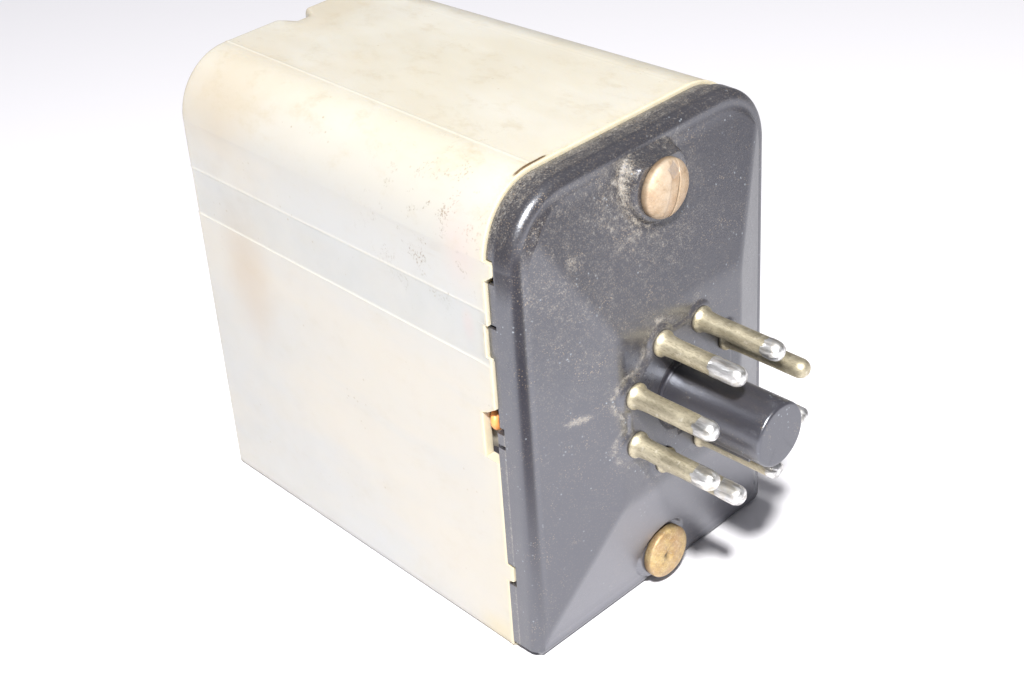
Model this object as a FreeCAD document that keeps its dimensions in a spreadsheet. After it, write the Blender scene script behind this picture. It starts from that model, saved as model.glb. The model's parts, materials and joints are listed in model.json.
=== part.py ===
import FreeCAD, Part
import math
import os
import Sketcher

# Plug-in control relay with a round eight-pin plug, a screwed-on moulded base,
# a push-on moulded cover and a hinged-armature change-over mechanism inside.
# Frame: millimetres, +Z up, the plug axis is the Y axis, the pins point to -Y and
# the cover lies towards +Y.  The origin is on the plug axis in the plane of the
# pin plateau, the face that meets the socket.

V = FreeCAD.Vector
doc = FreeCAD.newDocument("ControlRelay")
sheet = doc.addObject("Spreadsheet::Sheet", "Dims")
_row = [0]


class Q:
    """A length with its spreadsheet expression and its present value."""

    def __init__(self, e, v):
        self.e, self.v = e, float(v)

    @staticmethod
    def of(a):
        return a if isinstance(a, Q) else Q(repr(float(a)), a)

    def __add__(self, o):
        o = Q.of(o)
        return Q("(%s + %s)" % (self.e, o.e), self.v + o.v)

    def __radd__(self, o):
        return Q.of(o) + self

    def __sub__(self, o):
        o = Q.of(o)
        return Q("(%s - %s)" % (self.e, o.e), self.v - o.v)

    def __rsub__(self, o):
        return Q.of(o) - self

    def __mul__(self, o):
        o = Q.of(o)
        return Q("(%s * %s)" % (self.e, o.e), self.v * o.v)

    def __rmul__(self, o):
        return Q.of(o) * self

    def __truediv__(self, o):
        o = Q.of(o)
        return Q("(%s / %s)" % (self.e, o.e), self.v / o.v)

    def __neg__(self):
        return Q("(0 - %s)" % self.e, -self.v)


def dim(name, value):
    """One driving dimension: a plain number in column B with a word as alias."""
    _row[0] += 1
    sheet.set("A%d" % _row[0], name)
    sheet.set("B%d" % _row[0], str(value))
    sheet.setAlias("B%d" % _row[0], name)
    return Q("Dims." + name, value)


# ---------------------------------------------------------------- dimensions
base_width = dim("base_width", 42.5)
base_height = dim("base_height", 61.65)
plug_offset = dim("plug_offset", 0.34)        # base centre above the plug axis
rim_front = dim("rim_front", 4.87)            # front plane of the base rim
step_line = dim("step_line", 7.85)            # end of the outer band of the rim
cover_edge = dim("cover_edge", 9.05)          # where the cover's edge meets the base
skirt_end = dim("skirt_end", 12.05)           # end of the part inside the cover
recess_floor = dim("recess_floor", 7.0)       # floor of the wiring recess
band_inset = dim("band_inset", 0.35)
top_corner_r = dim("top_corner_r", 8.5)
low_corner_r = dim("low_corner_r", 1.2)
rim_round = dim("rim_round", 1.0)
facet_half_x = dim("facet_half_x", 9.8)
facet_half_z = dim("facet_half_z", 11.2)
facet_rim_x = dim("facet_rim_x", 20.2)
facet_rim_z = dim("facet_rim_z", 28.7)
plateau_r = dim("plateau_r", 9.3)
boss_r = dim("boss_r", 2.35)
pin_circle = dim("pin_circle", 17.45)
pin_dia = dim("pin_dia", 2.36)
pin_length = dim("pin_length", 11.79)
pin_shank_r = dim("pin_shank_r", 0.88)        # the pin's thinner part inside the base
pin_inner_end = dim("pin_inner_end", 8.0)
spigot_r = dim("spigot_r", 3.95)
spigot_length = dim("spigot_length", 14.28)
key_stop = dim("key_stop", 10.5)
key_half = dim("key_half", 0.85)
key_out = dim("key_out", 5.05)
screw_span = dim("screw_span", 25.5)          # base screws above and below the centre
screw_head_r = dim("screw_head_r", 3.75)
screw_shank_r = dim("screw_shank_r", 1.5)
cover_end = dim("cover_end", 65.84)
cover_wall = dim("cover_wall", 1.3)
end_round = dim("end_round", 1.1)
side_draft = dim("side_draft", 0.0386)
top_draft = dim("top_draft", 0.0148)
fit_gap = dim("fit_gap", 0.15)
groove_half = dim("groove_half", 2.4)
groove_depth = dim("groove_depth", 2.4)
coil_axis = dim("coil_axis", -12.0)           # height of the coil axis
core_r = dim("core_r", 5.0)
pole_r = dim("pole_r", 6.5)
pole_face = dim("pole_face", 49.0)
flange_r = dim("flange_r", 13.8)
winding_r = dim("winding_r", 12.5)
strip_half = dim("strip_half", 7.0)
plate_t = dim("plate_t", 1.5)
yoke_half = dim("yoke_half", 9.0)
yoke_t = dim("yoke_t", 2.0)
leg_top = dim("leg_top", 4.3)
leg_end = dim("leg_end", 50.45)
arm_under = dim("arm_under", 50.6)
arm_t = dim("arm_t", 1.8)
contact_x = dim("contact_x", 10.5)
contact_y = dim("contact_y", 28.0)
blade_half = dim("blade_half", 2.5)
blade_t = dim("blade_t", 0.3)
blade_z = dim("blade_z", 12.0)
strip_t = dim("strip_t", 0.5)
contact_t = dim("contact_t", 0.9)
contact_r = dim("contact_r", 1.8)
nc_face = dim("nc_face", 11.05)
no_face = dim("no_face", 14.85)
block_y0 = dim("block_y0", 15.8)
block_y1 = dim("block_y1", 23.5)
block_half = dim("block_half", 14.5)
spring_z = dim("spring_z", 21.4)
spring_r = dim("spring_r", 1.75)
wire_r = dim("wire_r", 0.5)
hw = base_width / 2
z_low = plug_offset - base_height / 2
z_high = plug_offset + base_height / 2
doc.recompute()

parts = []


# ------------------------------------------------------------------- helpers
def body(label, x=0.0, y=0.0, z=0.0):
    b = doc.addObject("PartDesign::Body", label)
    b.Label = label
    for k, q in zip("xyz", (x, y, z)):
        if isinstance(q, Q):
            b.setExpression("Placement.Base." + k, q.e)
        elif q:
            setattr(b.Placement.Base, k, q)
    parts.append(b)
    return b


ROLE = {"XZ": "XZ_Plane", "XY": "XY_Plane", "YZ": "YZ_Plane"}


def sketch(b, name, plane, offset):
    """Sketch on one of the body's own origin planes, moved along its normal."""
    sk = b.newObject("Sketcher::SketchObject", name)
    pl = [f for f in b.Origin.OriginFeatures if f.Role == ROLE[plane]][0]
    sk.AttachmentSupport = [(pl, "")]
    sk.MapMode = "FlatFace"
    off = Q.of(offset)
    sk.setExpression("AttachmentOffset.Base.z", (-off).e if plane == "XZ" else off.e)
    return sk


def hold(sk, cname, expr, con):
    i = sk.addConstraint(con)
    sk.renameConstraint(i, cname)
    sk.setExpression("Constraints." + cname, expr)


def at(sk, g, p, x, y, tag):
    """Place one sketch point by two bound distances from the sketch origin."""
    x, y = Q.of(x), Q.of(y)
    for q, kind, axis in ((x, "DistanceX", -2), (y, "DistanceY", -1)):
        if abs(q.v) < 1e-9:
            sk.addConstraint(Sketcher.Constraint("PointOnObject", g, p, axis))
        elif q.v > 0:
            hold(sk, tag + kind[-1], q.e, Sketcher.Constraint(kind, -1, 1, g, p, q.v))
        else:
            hold(sk, tag + kind[-1], (-q).e, Sketcher.Constraint(kind, g, p, -1, 1, -q.v))


def polygon(sk, pts):
    pts = [(Q.of(x), Q.of(y)) for x, y in pts]
    n = len(pts)
    base = sk.GeometryCount
    for i in range(n):
        a, c = pts[i], pts[(i + 1) % n]
        sk.addGeometry(Part.LineSegment(V(a[0].v, a[1].v, 0), V(c[0].v, c[1].v, 0)), False)
    for i in range(n):
        sk.addConstraint(Sketcher.Constraint("Coincident", base + i, 2, base + (i + 1) % n, 1))
    for i in range(n):
        at(sk, base + i, 1, pts[i][0], pts[i][1], "p%d_" % (base + i))


def rect(x0, x1, y0, y1):
    return [(x0, y0), (x1, y0), (x1, y1), (x0, y1)]


def circle(sk, x, y, r, tag="c"):
    x, y, r = Q.of(x), Q.of(y), Q.of(r)
    g = sk.addGeometry(Part.Circle(V(x.v, y.v, 0), V(0, 0, 1), r.v), False)
    at(sk, g, 3, x, y, "%s%d_" % (tag, g))
    hold(sk, "%s%d_r" % (tag, g), r.e, Sketcher.Constraint("Radius", g, r.v))


def rounded(sk, half, lo, hi, r_top, r_low):
    """Upright outline with two large upper corners and two small lower ones."""
    half, lo, hi, r_top, r_low = map(Q.of, (half, lo, hi, r_top, r_low))
    w, a, c, rt, rb = half.v, lo.v, hi.v, r_top.v, r_low.v

    def ln(p, q):
        return sk.addGeometry(Part.LineSegment(V(p[0], p[1], 0), V(q[0], q[1], 0)), False)

    def arc(cx, cy, r, t0):
        return sk.addGeometry(Part.ArcOfCircle(
            Part.Circle(V(cx, cy, 0), V(0, 0, 1), r), t0, t0 + math.pi / 2), False)

    l0 = ln((-w + rb, a), (w - rb, a))
    a0 = arc(w - rb, a + rb, rb, -math.pi / 2)
    l1 = ln((w, a + rb), (w, c - rt))
    a1 = arc(w - rt, c - rt, rt, 0)
    l2 = ln((w - rt, c), (-w + rt, c))
    a2 = arc(-w + rt, c - rt, rt, math.pi / 2)
    l3 = ln((-w, c - rt), (-w, a + rb))
    a3 = arc(-w + rb, a + rb, rb, math.pi)
    loop = [l0, a0, l1, a1, l2, a2, l3, a3]
    for i in range(8):
        sk.addConstraint(Sketcher.Constraint("Tangent", loop[i], 2, loop[(i + 1) % 8], 1))
    for g in (l0, l2):
        sk.addConstraint(Sketcher.Constraint("Horizontal", g))
    for g in (l1, l3):
        sk.addConstraint(Sketcher.Constraint("Vertical", g))
    sk.addConstraint(Sketcher.Constraint("Equal", a1, a2))
    sk.addConstraint(Sketcher.Constraint("Equal", a0, a3))
    hold(sk, "upper_radius", r_top.e, Sketcher.Constraint("Radius", a1, rt))
    hold(sk, "lower_radius", r_low.e, Sketcher.Constraint("Radius", a0, rb))
    hold(sk, "right_half", half.e, Sketcher.Constraint("DistanceX", -1, 1, l1, 1, w))
    hold(sk, "left_half", half.e, Sketcher.Constraint("DistanceX", l3, 1, -1, 1, w))
    hold(sk, "top_edge", hi.e, Sketcher.Constraint("DistanceY", -1, 1, l2, 1, c))
    hold(sk, "low_edge", (-lo).e, Sketcher.Constraint("DistanceY", l0, 1, -1, 1, -a))


def pad(b, name, sk, plane, a, c):
    """Pad the sketch that lies at a until it reaches c."""
    a, c = Q.of(a), Q.of(c)
    p = b.newObject("PartDesign::Pad", name)
    p.Profile = sk
    up = c.v > a.v
    p.setExpression("Length", ((c - a) if up else (a - c)).e)
    p.Reversed = up if plane == "XZ" else (not up)
    return p


def pocket(b, name, sk, plane, a, c):
    """Pocket from the sketch at a until c, and prove that it removed material."""
    a, c = Q.of(a), Q.of(c)
    doc.recompute()
    before = b.Tip.Shape.Volume
    p = b.newObject("PartDesign::Pocket", name)
    p.Profile = sk
    up = c.v > a.v
    p.setExpression("Length", ((c - a) if up else (a - c)).e)
    p.Reversed = (not up) if plane == "XZ" else up
    doc.recompute()
    if p.Shape.Volume > before - 1e-6:
        raise RuntimeError("pocket %s in %s removes nothing" % (name, b.Label))
    return p


def prism(b, name, plane, pts, a, c):
    sk = sketch(b, name + "_sketch", plane, a)
    polygon(sk, pts)
    return pad(b, name, sk, plane, a, c)


def disc(b, name, plane, cx, cy, r, a, c):
    sk = sketch(b, name + "_sketch", plane, a)
    circle(sk, cx, cy, r)
    return pad(b, name, sk, plane, a, c)


def cut(b, name, plane, pts, a, c):
    sk = sketch(b, name + "_sketch", plane, a)
    polygon(sk, pts)
    return pocket(b, name, sk, plane, a, c)


def bore(b, name, plane, holes, a, c):
    sk = sketch(b, name + "_sketch", plane, a)
    for i, (cx, cy, r) in enumerate(holes):
        circle(sk, cx, cy, r)
    return pocket(b, name, sk, plane, a, c)


def revolve(b, name, plane, pts):
    """Revolve a half profile (radius, height) about the sketch's vertical axis."""
    sk = sketch(b, name + "_sketch", plane, 0)
    polygon(sk, pts)
    rv = b.newObject("PartDesign::Revolution", name)
    rv.Profile = sk
    rv.ReferenceAxis = (sk, ["V_Axis"])
    rv.Angle = 360
    return rv


def edges_where(shape, test):
    return ["Edge%d" % (i + 1) for i, e in enumerate(shape.Edges) if test(e)]


def soften(b, name, radius, test, kind="PartDesign::Fillet"):
    doc.recompute()
    tip = b.Tip
    names = edges_where(tip.Shape, test)
    if not names:
        raise RuntimeError("no edge to soften for " + name)
    f = b.newObject(kind, name)
    f.Base = (tip, names)
    f.setExpression("Radius" if kind.endswith("Fillet") else "Size", Q.of(radius).e)
    doc.recompute()
    return f


def straight(e):
    return e.Curve.TypeId == "Part::GeomLine"


def tube(label, pts, radius, bend=0.45):
    """Round wire along straight runs joined by tangent arcs."""
    pts = [V(*p) for p in pts]
    edges = []
    start = pts[0]
    for i in range(1, len(pts) - 1):
        a, p, c = pts[i - 1], pts[i], pts[i + 1]
        u, w = (p - a), (c - p)
        la, lc = u.Length, w.Length
        u.normalize()
        w.normalize()
        turn = u.getAngle(w)
        t = bend * min(la, lc)
        rad = t / math.tan(turn / 2)
        p0, p1 = p - u * t, p + w * t
        mid_dir = (w - u)
        mid_dir.normalize()
        centre = p + mid_dir * math.hypot(rad, t)
        m = centre - mid_dir * rad
        edges.append(Part.LineSegment(start, p0).toShape())
        edges.append(Part.Arc(p0, m, p1).toShape())
        start = p1
        if rad < 2.0 * radius.v:
            print(label, "tight bend", round(rad, 2))
    edges.append(Part.LineSegment(start, pts[-1]).toShape())
    path = Part.Wire(edges)
    d = pts[1] - pts[0]
    ring = Part.Wire([Part.Circle(pts[0], d, radius.v).toShape()])
    solid = path.makePipeShell([ring], True, True, 0)
    want = math.pi * radius.v ** 2 * path.Length
    if abs(solid.Volume - want) > 0.02 * want:
        raise RuntimeError("%s: volume %.2f, expected %.2f" % (label, solid.Volume, want))
    f = doc.addObject("Part::Feature", label)
    f.Shape = solid
    f.Label = label
    f.Placement = FreeCAD.Placement()
    parts.append(f)
    return f


# ---------------------------------------------------------------------- base
b = body("base")
# four-sided front that rises from the rim to the round pin plateau
sk1 = sketch(b, "facet_foot", "XZ", rim_front)
polygon(sk1, rect(-facet_rim_x, facet_rim_x, plug_offset - facet_rim_z, plug_offset + facet_rim_z))
sk2 = sketch(b, "facet_head", "XZ", 0.35)
polygon(sk2, rect(-facet_half_x, facet_half_x, -facet_half_z, facet_half_z))
lf = b.newObject("PartDesign::AdditiveLoft", "facets")
lf.Profile = sk1
lf.Sections = [sk2]
lf.Ruled = True
doc.recompute()
# the upper corners of that front follow the rounded outline of the rim
sk = sketch(b, "facet_trim_sketch", "XZ", rim_front)
rounded(sk, hw - rim_round - 0.05, z_low + rim_round + 0.05, z_high - rim_round - 0.05,
        top_corner_r - rim_round - 0.05, 0.3)
polygon(sk, rect(-hw - 3, hw + 3, z_low - 3, z_high + 3))
pocket(b, "facet_trim", sk, "XZ", rim_front, -2.0)
sk = sketch(b, "rim_outline", "XZ", rim_front)
rounded(sk, hw, z_low, z_high, top_corner_r, low_corner_r)
pad(b, "rim", sk, "XZ", rim_front, step_line)


def on_outline(e):
    bb = e.BoundBox
    flat = abs(bb.YMin - rim_front.v) < 1e-4 and abs(bb.YMax - rim_front.v) < 1e-4
    edge = 0.01
    return flat and (bb.XMax > hw.v - edge or bb.XMin < edge - hw.v
                     or bb.ZMax > z_high.v - edge or bb.ZMin < z_low.v + edge)


soften(b, "rim_front_round", rim_round, on_outline)
sk = sketch(b, "band_outline", "XZ", step_line)
rounded(sk, hw - band_inset, z_low + band_inset, z_high - band_inset,
        top_corner_r - band_inset, low_corner_r - band_inset)
pad(b, "band", sk, "XZ", step_line, cover_edge)
sk = sketch(b, "skirt_outline", "XZ", cover_edge)
inner = cover_wall + fit_gap
rounded(sk, hw - inner - 0.12, z_low + inner, z_high - inner - 0.05, top_corner_r - inner, 0.6)
pad(b, "skirt", sk, "XZ", cover_edge, skirt_end)
disc(b, "plateau", "XZ", 0, 0, plateau_r, rim_front, 0.0)
disc(b, "boss", "XZ", pin_circle / 2 * math.cos(math.radians(22.5)),
     pin_circle / 2 * math.sin(math.radians(22.5)), boss_r, rim_front, 0.0)
doc.recompute()
pat = b.newObject("PartDesign::PolarPattern", "bosses")
pat.Originals = [b.Tip]
yax = [f for f in b.Origin.OriginFeatures if f.Role == "Y_Axis"][0]
pat.Axis = (yax, [""])
pat.Angle = 360
pat.Occurrences = 8
b.Tip = pat
doc.recompute()
# round raised pads under the two screw heads
sk = sketch(b, "screw_pads_sketch", "XZ", rim_front)
circle(sk, 0, plug_offset + screw_span, screw_head_r + 0.75)
pad(b, "upper_pad", sk, "XZ", rim_front, 2.95)
sk = sketch(b, "low_pad_sketch", "XZ", rim_front)
circle(sk, 0, plug_offset - screw_span, screw_head_r + 0.35)
pad(b, "lower_pad", sk, "XZ", rim_front, 3.75)
bore(b, "lower_seat", "XZ", [(0, plug_offset - screw_span, screw_head_r + 0.15)], 3.75, -1.0)
# guide spigot with its key rib on the lower side
disc(b, "spigot", "XZ", 0, 0, spigot_r, 1.0, -spigot_length)
soften(b, "spigot_edge", 0.45,
       lambda e: abs(e.BoundBox.YMin + spigot_length.v) < 1e-4 and abs(e.BoundBox.YMax + spigot_length.v) < 1e-4)
prism(b, "key", "XZ", rect(-key_half, key_half, -key_out, -3.0), 1.0, -key_stop)
# wiring recess, pin holes, screw holes, screw-head clearance inside
cut(b, "recess", "XZ", rect(-16.5, 16.5, -13.0, 13.0), skirt_end, recess_floor)
bore(b, "core_head_room", "XZ", [(0, coil_axis, 4.0)], skirt_end, 9.4)
holes = []
for k in range(8):
    a = math.radians(22.5 + 45 * k)
    holes.append((pin_circle / 2 * math.cos(a), pin_circle / 2 * math.sin(a), pin_shank_r + 0.02))
bore(b, "pin_holes", "XZ", holes, skirt_end, -1.0)
bore(b, "screw_holes", "XZ", [(0, plug_offset + screw_span, screw_shank_r + 0.12),
                              (0, plug_offset - screw_span, screw_shank_r + 0.12)], skirt_end, -1.0)
# snap notches, sink slots and wire windows on both long sides
for tag, sx in (("left", -1.0), ("right", 1.0)):
    x0, x1 = hw * sx, (hw - 1.6) * sx
    cut(b, tag + "_snap_notch", "YZ", rect(7.75, 9.2, 20.5, 23.5), x0 * 1.02, x1)
    cut(b, tag + "_low_notch", "YZ", rect(7.75, 9.2, -20.3, -17.3), x0 * 1.02, x1)
    cut(b, tag + "_slot_upper", "YZ", rect(7.9, 9.2, 14.9, 15.4), x0 * 1.02, (hw - 1.0) * sx)
    cut(b, tag + "_slot_lower", "YZ", rect(7.9, 9.2, 1.35, 1.8), x0 * 1.02, (hw - 1.0) * sx)
    cut(b, tag + "_wire_window", "YZ", rect(9.3, 12.2, -3.2, 3.3), (hw - 0.5) * sx, 16.2 * sx)

# ---------------------------------------------------------------------- pins
PIN_ANGLE = [247.5, 202.5, 157.5, 112.5, 67.5, 22.5, 337.5, 292.5]
PIN = []
pr = pin_dia / 2
for k, deg in enumerate(PIN_ANGLE):
    a = math.radians(deg)
    px, pz = pin_circle / 2 * math.cos(a), pin_circle / 2 * math.sin(a)
    PIN.append((px.v, pz.v))
    p = body("pin_%d" % (k + 1), px, 0, pz)
    revolve(p, "pin_profile", "XY", [
        (0, pin_inner_end), (pin_shank_r, pin_inner_end), (pin_shank_r, 0), (pr, 0), (pr, 0.8 - pin_length),
        (pr * 0.78, 0.2 - pin_length), (pr * 0.35, -pin_length), (0, -pin_length)])

# --------------------------------------------------------------- base screws
for name, sgn, seat, proud, end in (("upper_base_screw", 1.0, 2.95, 1.55, 16.0),
                                    ("lower_base_screw", -1.0, 3.75, 0.95, 13.5)):
    s = body(name, 0, 0, plug_offset + screw_span * sgn)
    revolve(s, "screw_profile", "XY", [
        (0, end), (screw_shank_r, end), (screw_shank_r, seat), (screw_head_r, seat),
        (screw_head_r, seat - proud * 0.6), (screw_head_r * 0.86, seat - proud * 0.87),
        (screw_head_r * 0.5, seat - proud), (0, seat - proud)])
    cut(s, "driver_slot", "XZ", rect(-0.4, 0.4, -4.0, 4.0), seat - proud - 0.2, seat - proud + 0.7)

# --------------------------------------------------------------------- cover
length = cover_end - cover_edge
c = body("cover")
low_stock = z_low - 0.25                      # trimmed flat afterwards, so the cover rests on a true plane
sk1 = sketch(c, "rim_section", "XZ", cover_edge)
rounded(sk1, hw, low_stock, z_high, top_corner_r, low_corner_r)
near_end = cover_end - end_round
sk2 = sketch(c, "end_section", "XZ", near_end)
rounded(sk2, hw - side_draft * (length - end_round), low_stock, z_high - top_draft * (length - end_round),
        top_corner_r - 0.4, low_corner_r)
lf = c.newObject("PartDesign::AdditiveLoft", "outside")
lf.Profile = sk1
lf.Sections = [sk2]
lf.Ruled = True
# rounded edge of the closed end, drawn as a short tapering loft
sk5 = sketch(c, "crown_foot", "XZ", near_end)
rounded(sk5, hw - side_draft * (length - end_round), low_stock, z_high - top_draft * (length - end_round),
        top_corner_r - 0.4, low_corner_r)
sk6 = sketch(c, "crown_head", "XZ", cover_end)
rounded(sk6, hw - side_draft * length - 0.8, z_low + 0.8, z_high - top_draft * length - 0.8,
        top_corner_r - 1.2, 0.4)
lf2 = c.newObject("PartDesign::AdditiveLoft", "crown")
lf2.Profile = sk5
lf2.Sections = [sk6]
lf2.Ruled = True
cut(c, "flat_underside", "XY", rect(-hw - 1.0, hw + 1.0, cover_edge - 1.0, cover_end + 1.0), z_low, z_low - 1.0)
sk3 = sketch(c, "inner_rim_section", "XZ", cover_edge - 0.5)
rounded(sk3, hw - cover_wall, z_low + cover_wall, z_high - cover_wall, top_corner_r - cover_wall, 0.5)
sk4 = sketch(c, "inner_end_section", "XZ", cover_end - cover_wall)
rounded(sk4, hw - side_draft * length - cover_wall, z_low + cover_wall,
        z_high - top_draft * length - cover_wall, top_corner_r - 0.4 - cover_wall, 0.5)
doc.recompute()
vol0 = c.Tip.Shape.Volume
sl = c.newObject("PartDesign::SubtractiveLoft", "inside")
sl.Profile = sk3
sl.Sections = [sk4]
sl.Ruled = True
doc.recompute()
if not 0.05 * vol0 < sl.Shape.Volume < 0.25 * vol0:
    raise RuntimeError("the cover is not a shell: %.1f of %.1f" % (sl.Shape.Volume, vol0))
# channel across the end for a hold-down spring, backed by a rib inside
prism(c, "channel_rib", "XZ",
      rect(-groove_half - cover_wall, groove_half + cover_wall, z_low + 0.6, z_high - top_draft * length - 0.7),
      cover_end - cover_wall, cover_end - groove_depth - cover_wall)
cut(c, "channel", "XZ",
    rect(-groove_half, groove_half, z_low - 1.0, z_high + 1.0), cover_end + 0.5, cover_end - groove_depth)
for tag, sx in (("left", -1.0), ("right", 1.0)):
    cut(c, tag + "_window", "YZ", rect(8.5, 11.2, -3.2, 3.3), (hw + 0.5) * sx, (hw - 2.4) * sx)
    prism(c, tag + "_snap_tab", "YZ", [(10.0, 20.8), (7.95, 21.1), (7.95, 22.9), (10.0, 23.2)],
          (hw - 0.06) * sx, (hw - 1.25) * sx)
    prism(c, tag + "_low_tab", "YZ", [(10.0, -20.0), (8.2, -19.8), (8.2, -17.8), (10.0, -17.6)],
          (hw - 0.06) * sx, (hw - 1.25) * sx)

# ------------------------------------------------------- frame of the mechanism
b = body("mounting_bracket")
prism(b, "strip", "XZ", rect(-strip_half, strip_half, -28.0, 28.4), skirt_end, skirt_end + plate_t)
bore(b, "tapped_holes", "XZ", [(0, plug_offset + screw_span, screw_shank_r + 0.03),
                               (0, plug_offset - screw_span, screw_shank_r + 0.03),
                               (0, coil_axis, 2.1)], skirt_end + plate_t + 0.5, skirt_end - 0.5)
foot = skirt_end + plate_t
b = body("yoke")
prism(b, "angle", "YZ", [(foot, -25.0), (foot + yoke_t, -25.0), (foot + yoke_t, leg_top - yoke_t),
                         (leg_end, leg_top - yoke_t), (leg_end, leg_top), (foot, leg_top)],
      -yoke_half, yoke_half)
bore(b, "core_hole", "XZ", [(0, coil_axis, 2.1)], foot + yoke_t + 0.5, foot - 0.5)
bore(b, "block_screw_holes", "XY", [(-4.5, (block_y0 + block_y1) / 2, 1.25),
                                    (4.5, (block_y0 + block_y1) / 2, 1.25)], leg_top + 0.5, leg_top - yoke_t - 0.5)

b = body("core", 0, 0, coil_axis)
cf = foot + yoke_t
revolve(b, "core_profile", "XY", [
    (0, cf + 8.0), (2.02, cf + 8.0), (2.02, cf), (core_r, cf), (core_r, pole_face - 1.4),
    (pole_r, pole_face - 1.4), (pole_r, pole_face - 0.2), (pole_r - 0.2, pole_face), (0, pole_face)])
b = body("core_screw", 0, 0, coil_axis)
revolve(b, "screw_profile", "XY", [
    (0, 9.75), (2.3, 9.75), (3.2, 10.4), (3.2, skirt_end), (1.98, skirt_end), (1.98, cf + 6.5), (0, cf + 6.5)])
cut(b, "driver_slot", "XZ", rect(-3.4, 3.4, -0.35, 0.35), 9.5, 10.5)

# ---------------------------------------------------------------------- coil
b = body("coil_bobbin", 0, 0, coil_axis)
f0, f1 = cf + 0.2, pole_face - 1.6
revolve(b, "bobbin_profile", "XY", [
    (core_r + 0.15, f0), (flange_r, f0), (flange_r, f0 + 1.4), (core_r + 1.1, f0 + 1.4),
    (core_r + 1.1, f1 - 1.4), (flange_r, f1 - 1.4), (flange_r, f1), (core_r + 0.15, f1)])
b = body("coil_winding", 0, 0, coil_axis)
revolve(b, "winding_profile", "XY", [
    (core_r + 1.12, f0 + 1.43), (winding_r, f0 + 1.43), (winding_r, f1 - 1.43), (core_r + 1.12, f1 - 1.43)])
b = body("coil_tape", 0, 0, coil_axis)
revolve(b, "tape_profile", "XY", [
    (winding_r + 0.03, f0 + 3.6), (winding_r + 0.32, f0 + 3.6), (winding_r + 0.32, f1 - 3.6), (winding_r + 0.03, f1 - 3.6)])

# ------------------------------------------------------------------ armature
b = body("armature")
prism(b, "plate", "XZ", rect(-yoke_half, yoke_half, -20.0, 7.6), arm_under, arm_under + arm_t)
prism(b, "tail", "XY", rect(-7.0, 7.0, 36.0, arm_under + arm_t), 6.1, 7.6)
prism(b, "spring_lug", "XZ", rect(-2.4, 2.4, 7.0, spring_z + 1.5), arm_under, arm_under + arm_t)
bore(b, "lug_hole", "XZ", [(0, spring_z, 0.7)], arm_under + arm_t + 0.3, arm_under - 0.3)
bore(b, "rivet_holes", "XY", [(-3.5, 39.5, 0.8), (3.5, 39.5, 0.8)], 8.0, 5.5)
b = body("residual_shim")
prism(b, "shim", "XZ", rect(-6.0, 6.0, -19.0, -5.0), arm_under - 0.12, arm_under)
b = body("moving_contact_carrier")
prism(b, "bar", "XY", rect(-14.0, 14.0, 36.5, 42.5), 7.6, blade_z)
bore(b, "rivet_holes", "XY", [(-3.5, 39.5, 0.8), (3.5, 39.5, 0.8), (-contact_x, 39.5, 0.8), (contact_x, 39.5, 0.8)],
     blade_z + 0.5, 7.0)
soften(b, "bar_edges", 0.5, lambda e: straight(e) and e.BoundBox.ZLength > 2.0)
b = body("carrier_rivets")
for i, (x, lo, hi) in enumerate(((-3.5, 6.1, 12.0), (3.5, 6.1, 12.0), (-10.5, 7.6, 12.3), (10.5, 7.6, 12.3))):
    disc(b, "shank_%d" % i, "XY", x, 39.5, 0.75, lo - 0.55, hi + 0.6)
    disc(b, "head_%d" % i, "XY", x, 39.5, 1.45, hi, hi + 0.6)
    disc(b, "tail_%d" % i, "XY", x, 39.5, 1.3, lo - 0.55, lo)
for k, sx in ((1, -1.0), (2, 1.0)):
    b = body("moving_blade_%d" % k, contact_x * sx)
    prism(b, "leaf", "XY", rect(-blade_half, blade_half, contact_y - 2.4, 42.4), blade_z, blade_z + blade_t)
    bore(b, "holes", "XY", [(0, contact_y, 0.85), (0, 39.5, 0.8)], blade_z + 0.8, blade_z - 0.5)
    soften(b, "leaf_corners", 0.8, lambda e: straight(e) and e.BoundBox.ZLength > 0.2)
    b = body("moving_contact_%d" % k, contact_x * sx, contact_y)
    top = blade_z + blade_t
    revolve(b, "contact_profile", "XZ", [
        (0, blade_z - contact_t), (contact_r * 0.6, blade_z - contact_t), (contact_r, blade_z - contact_t * 0.7),
        (contact_r, blade_z), (0.8, blade_z), (0.8, top), (contact_r, top), (contact_r, top + contact_t * 0.7),
        (contact_r * 0.6, top + contact_t), (0, top + contact_t)])

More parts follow.
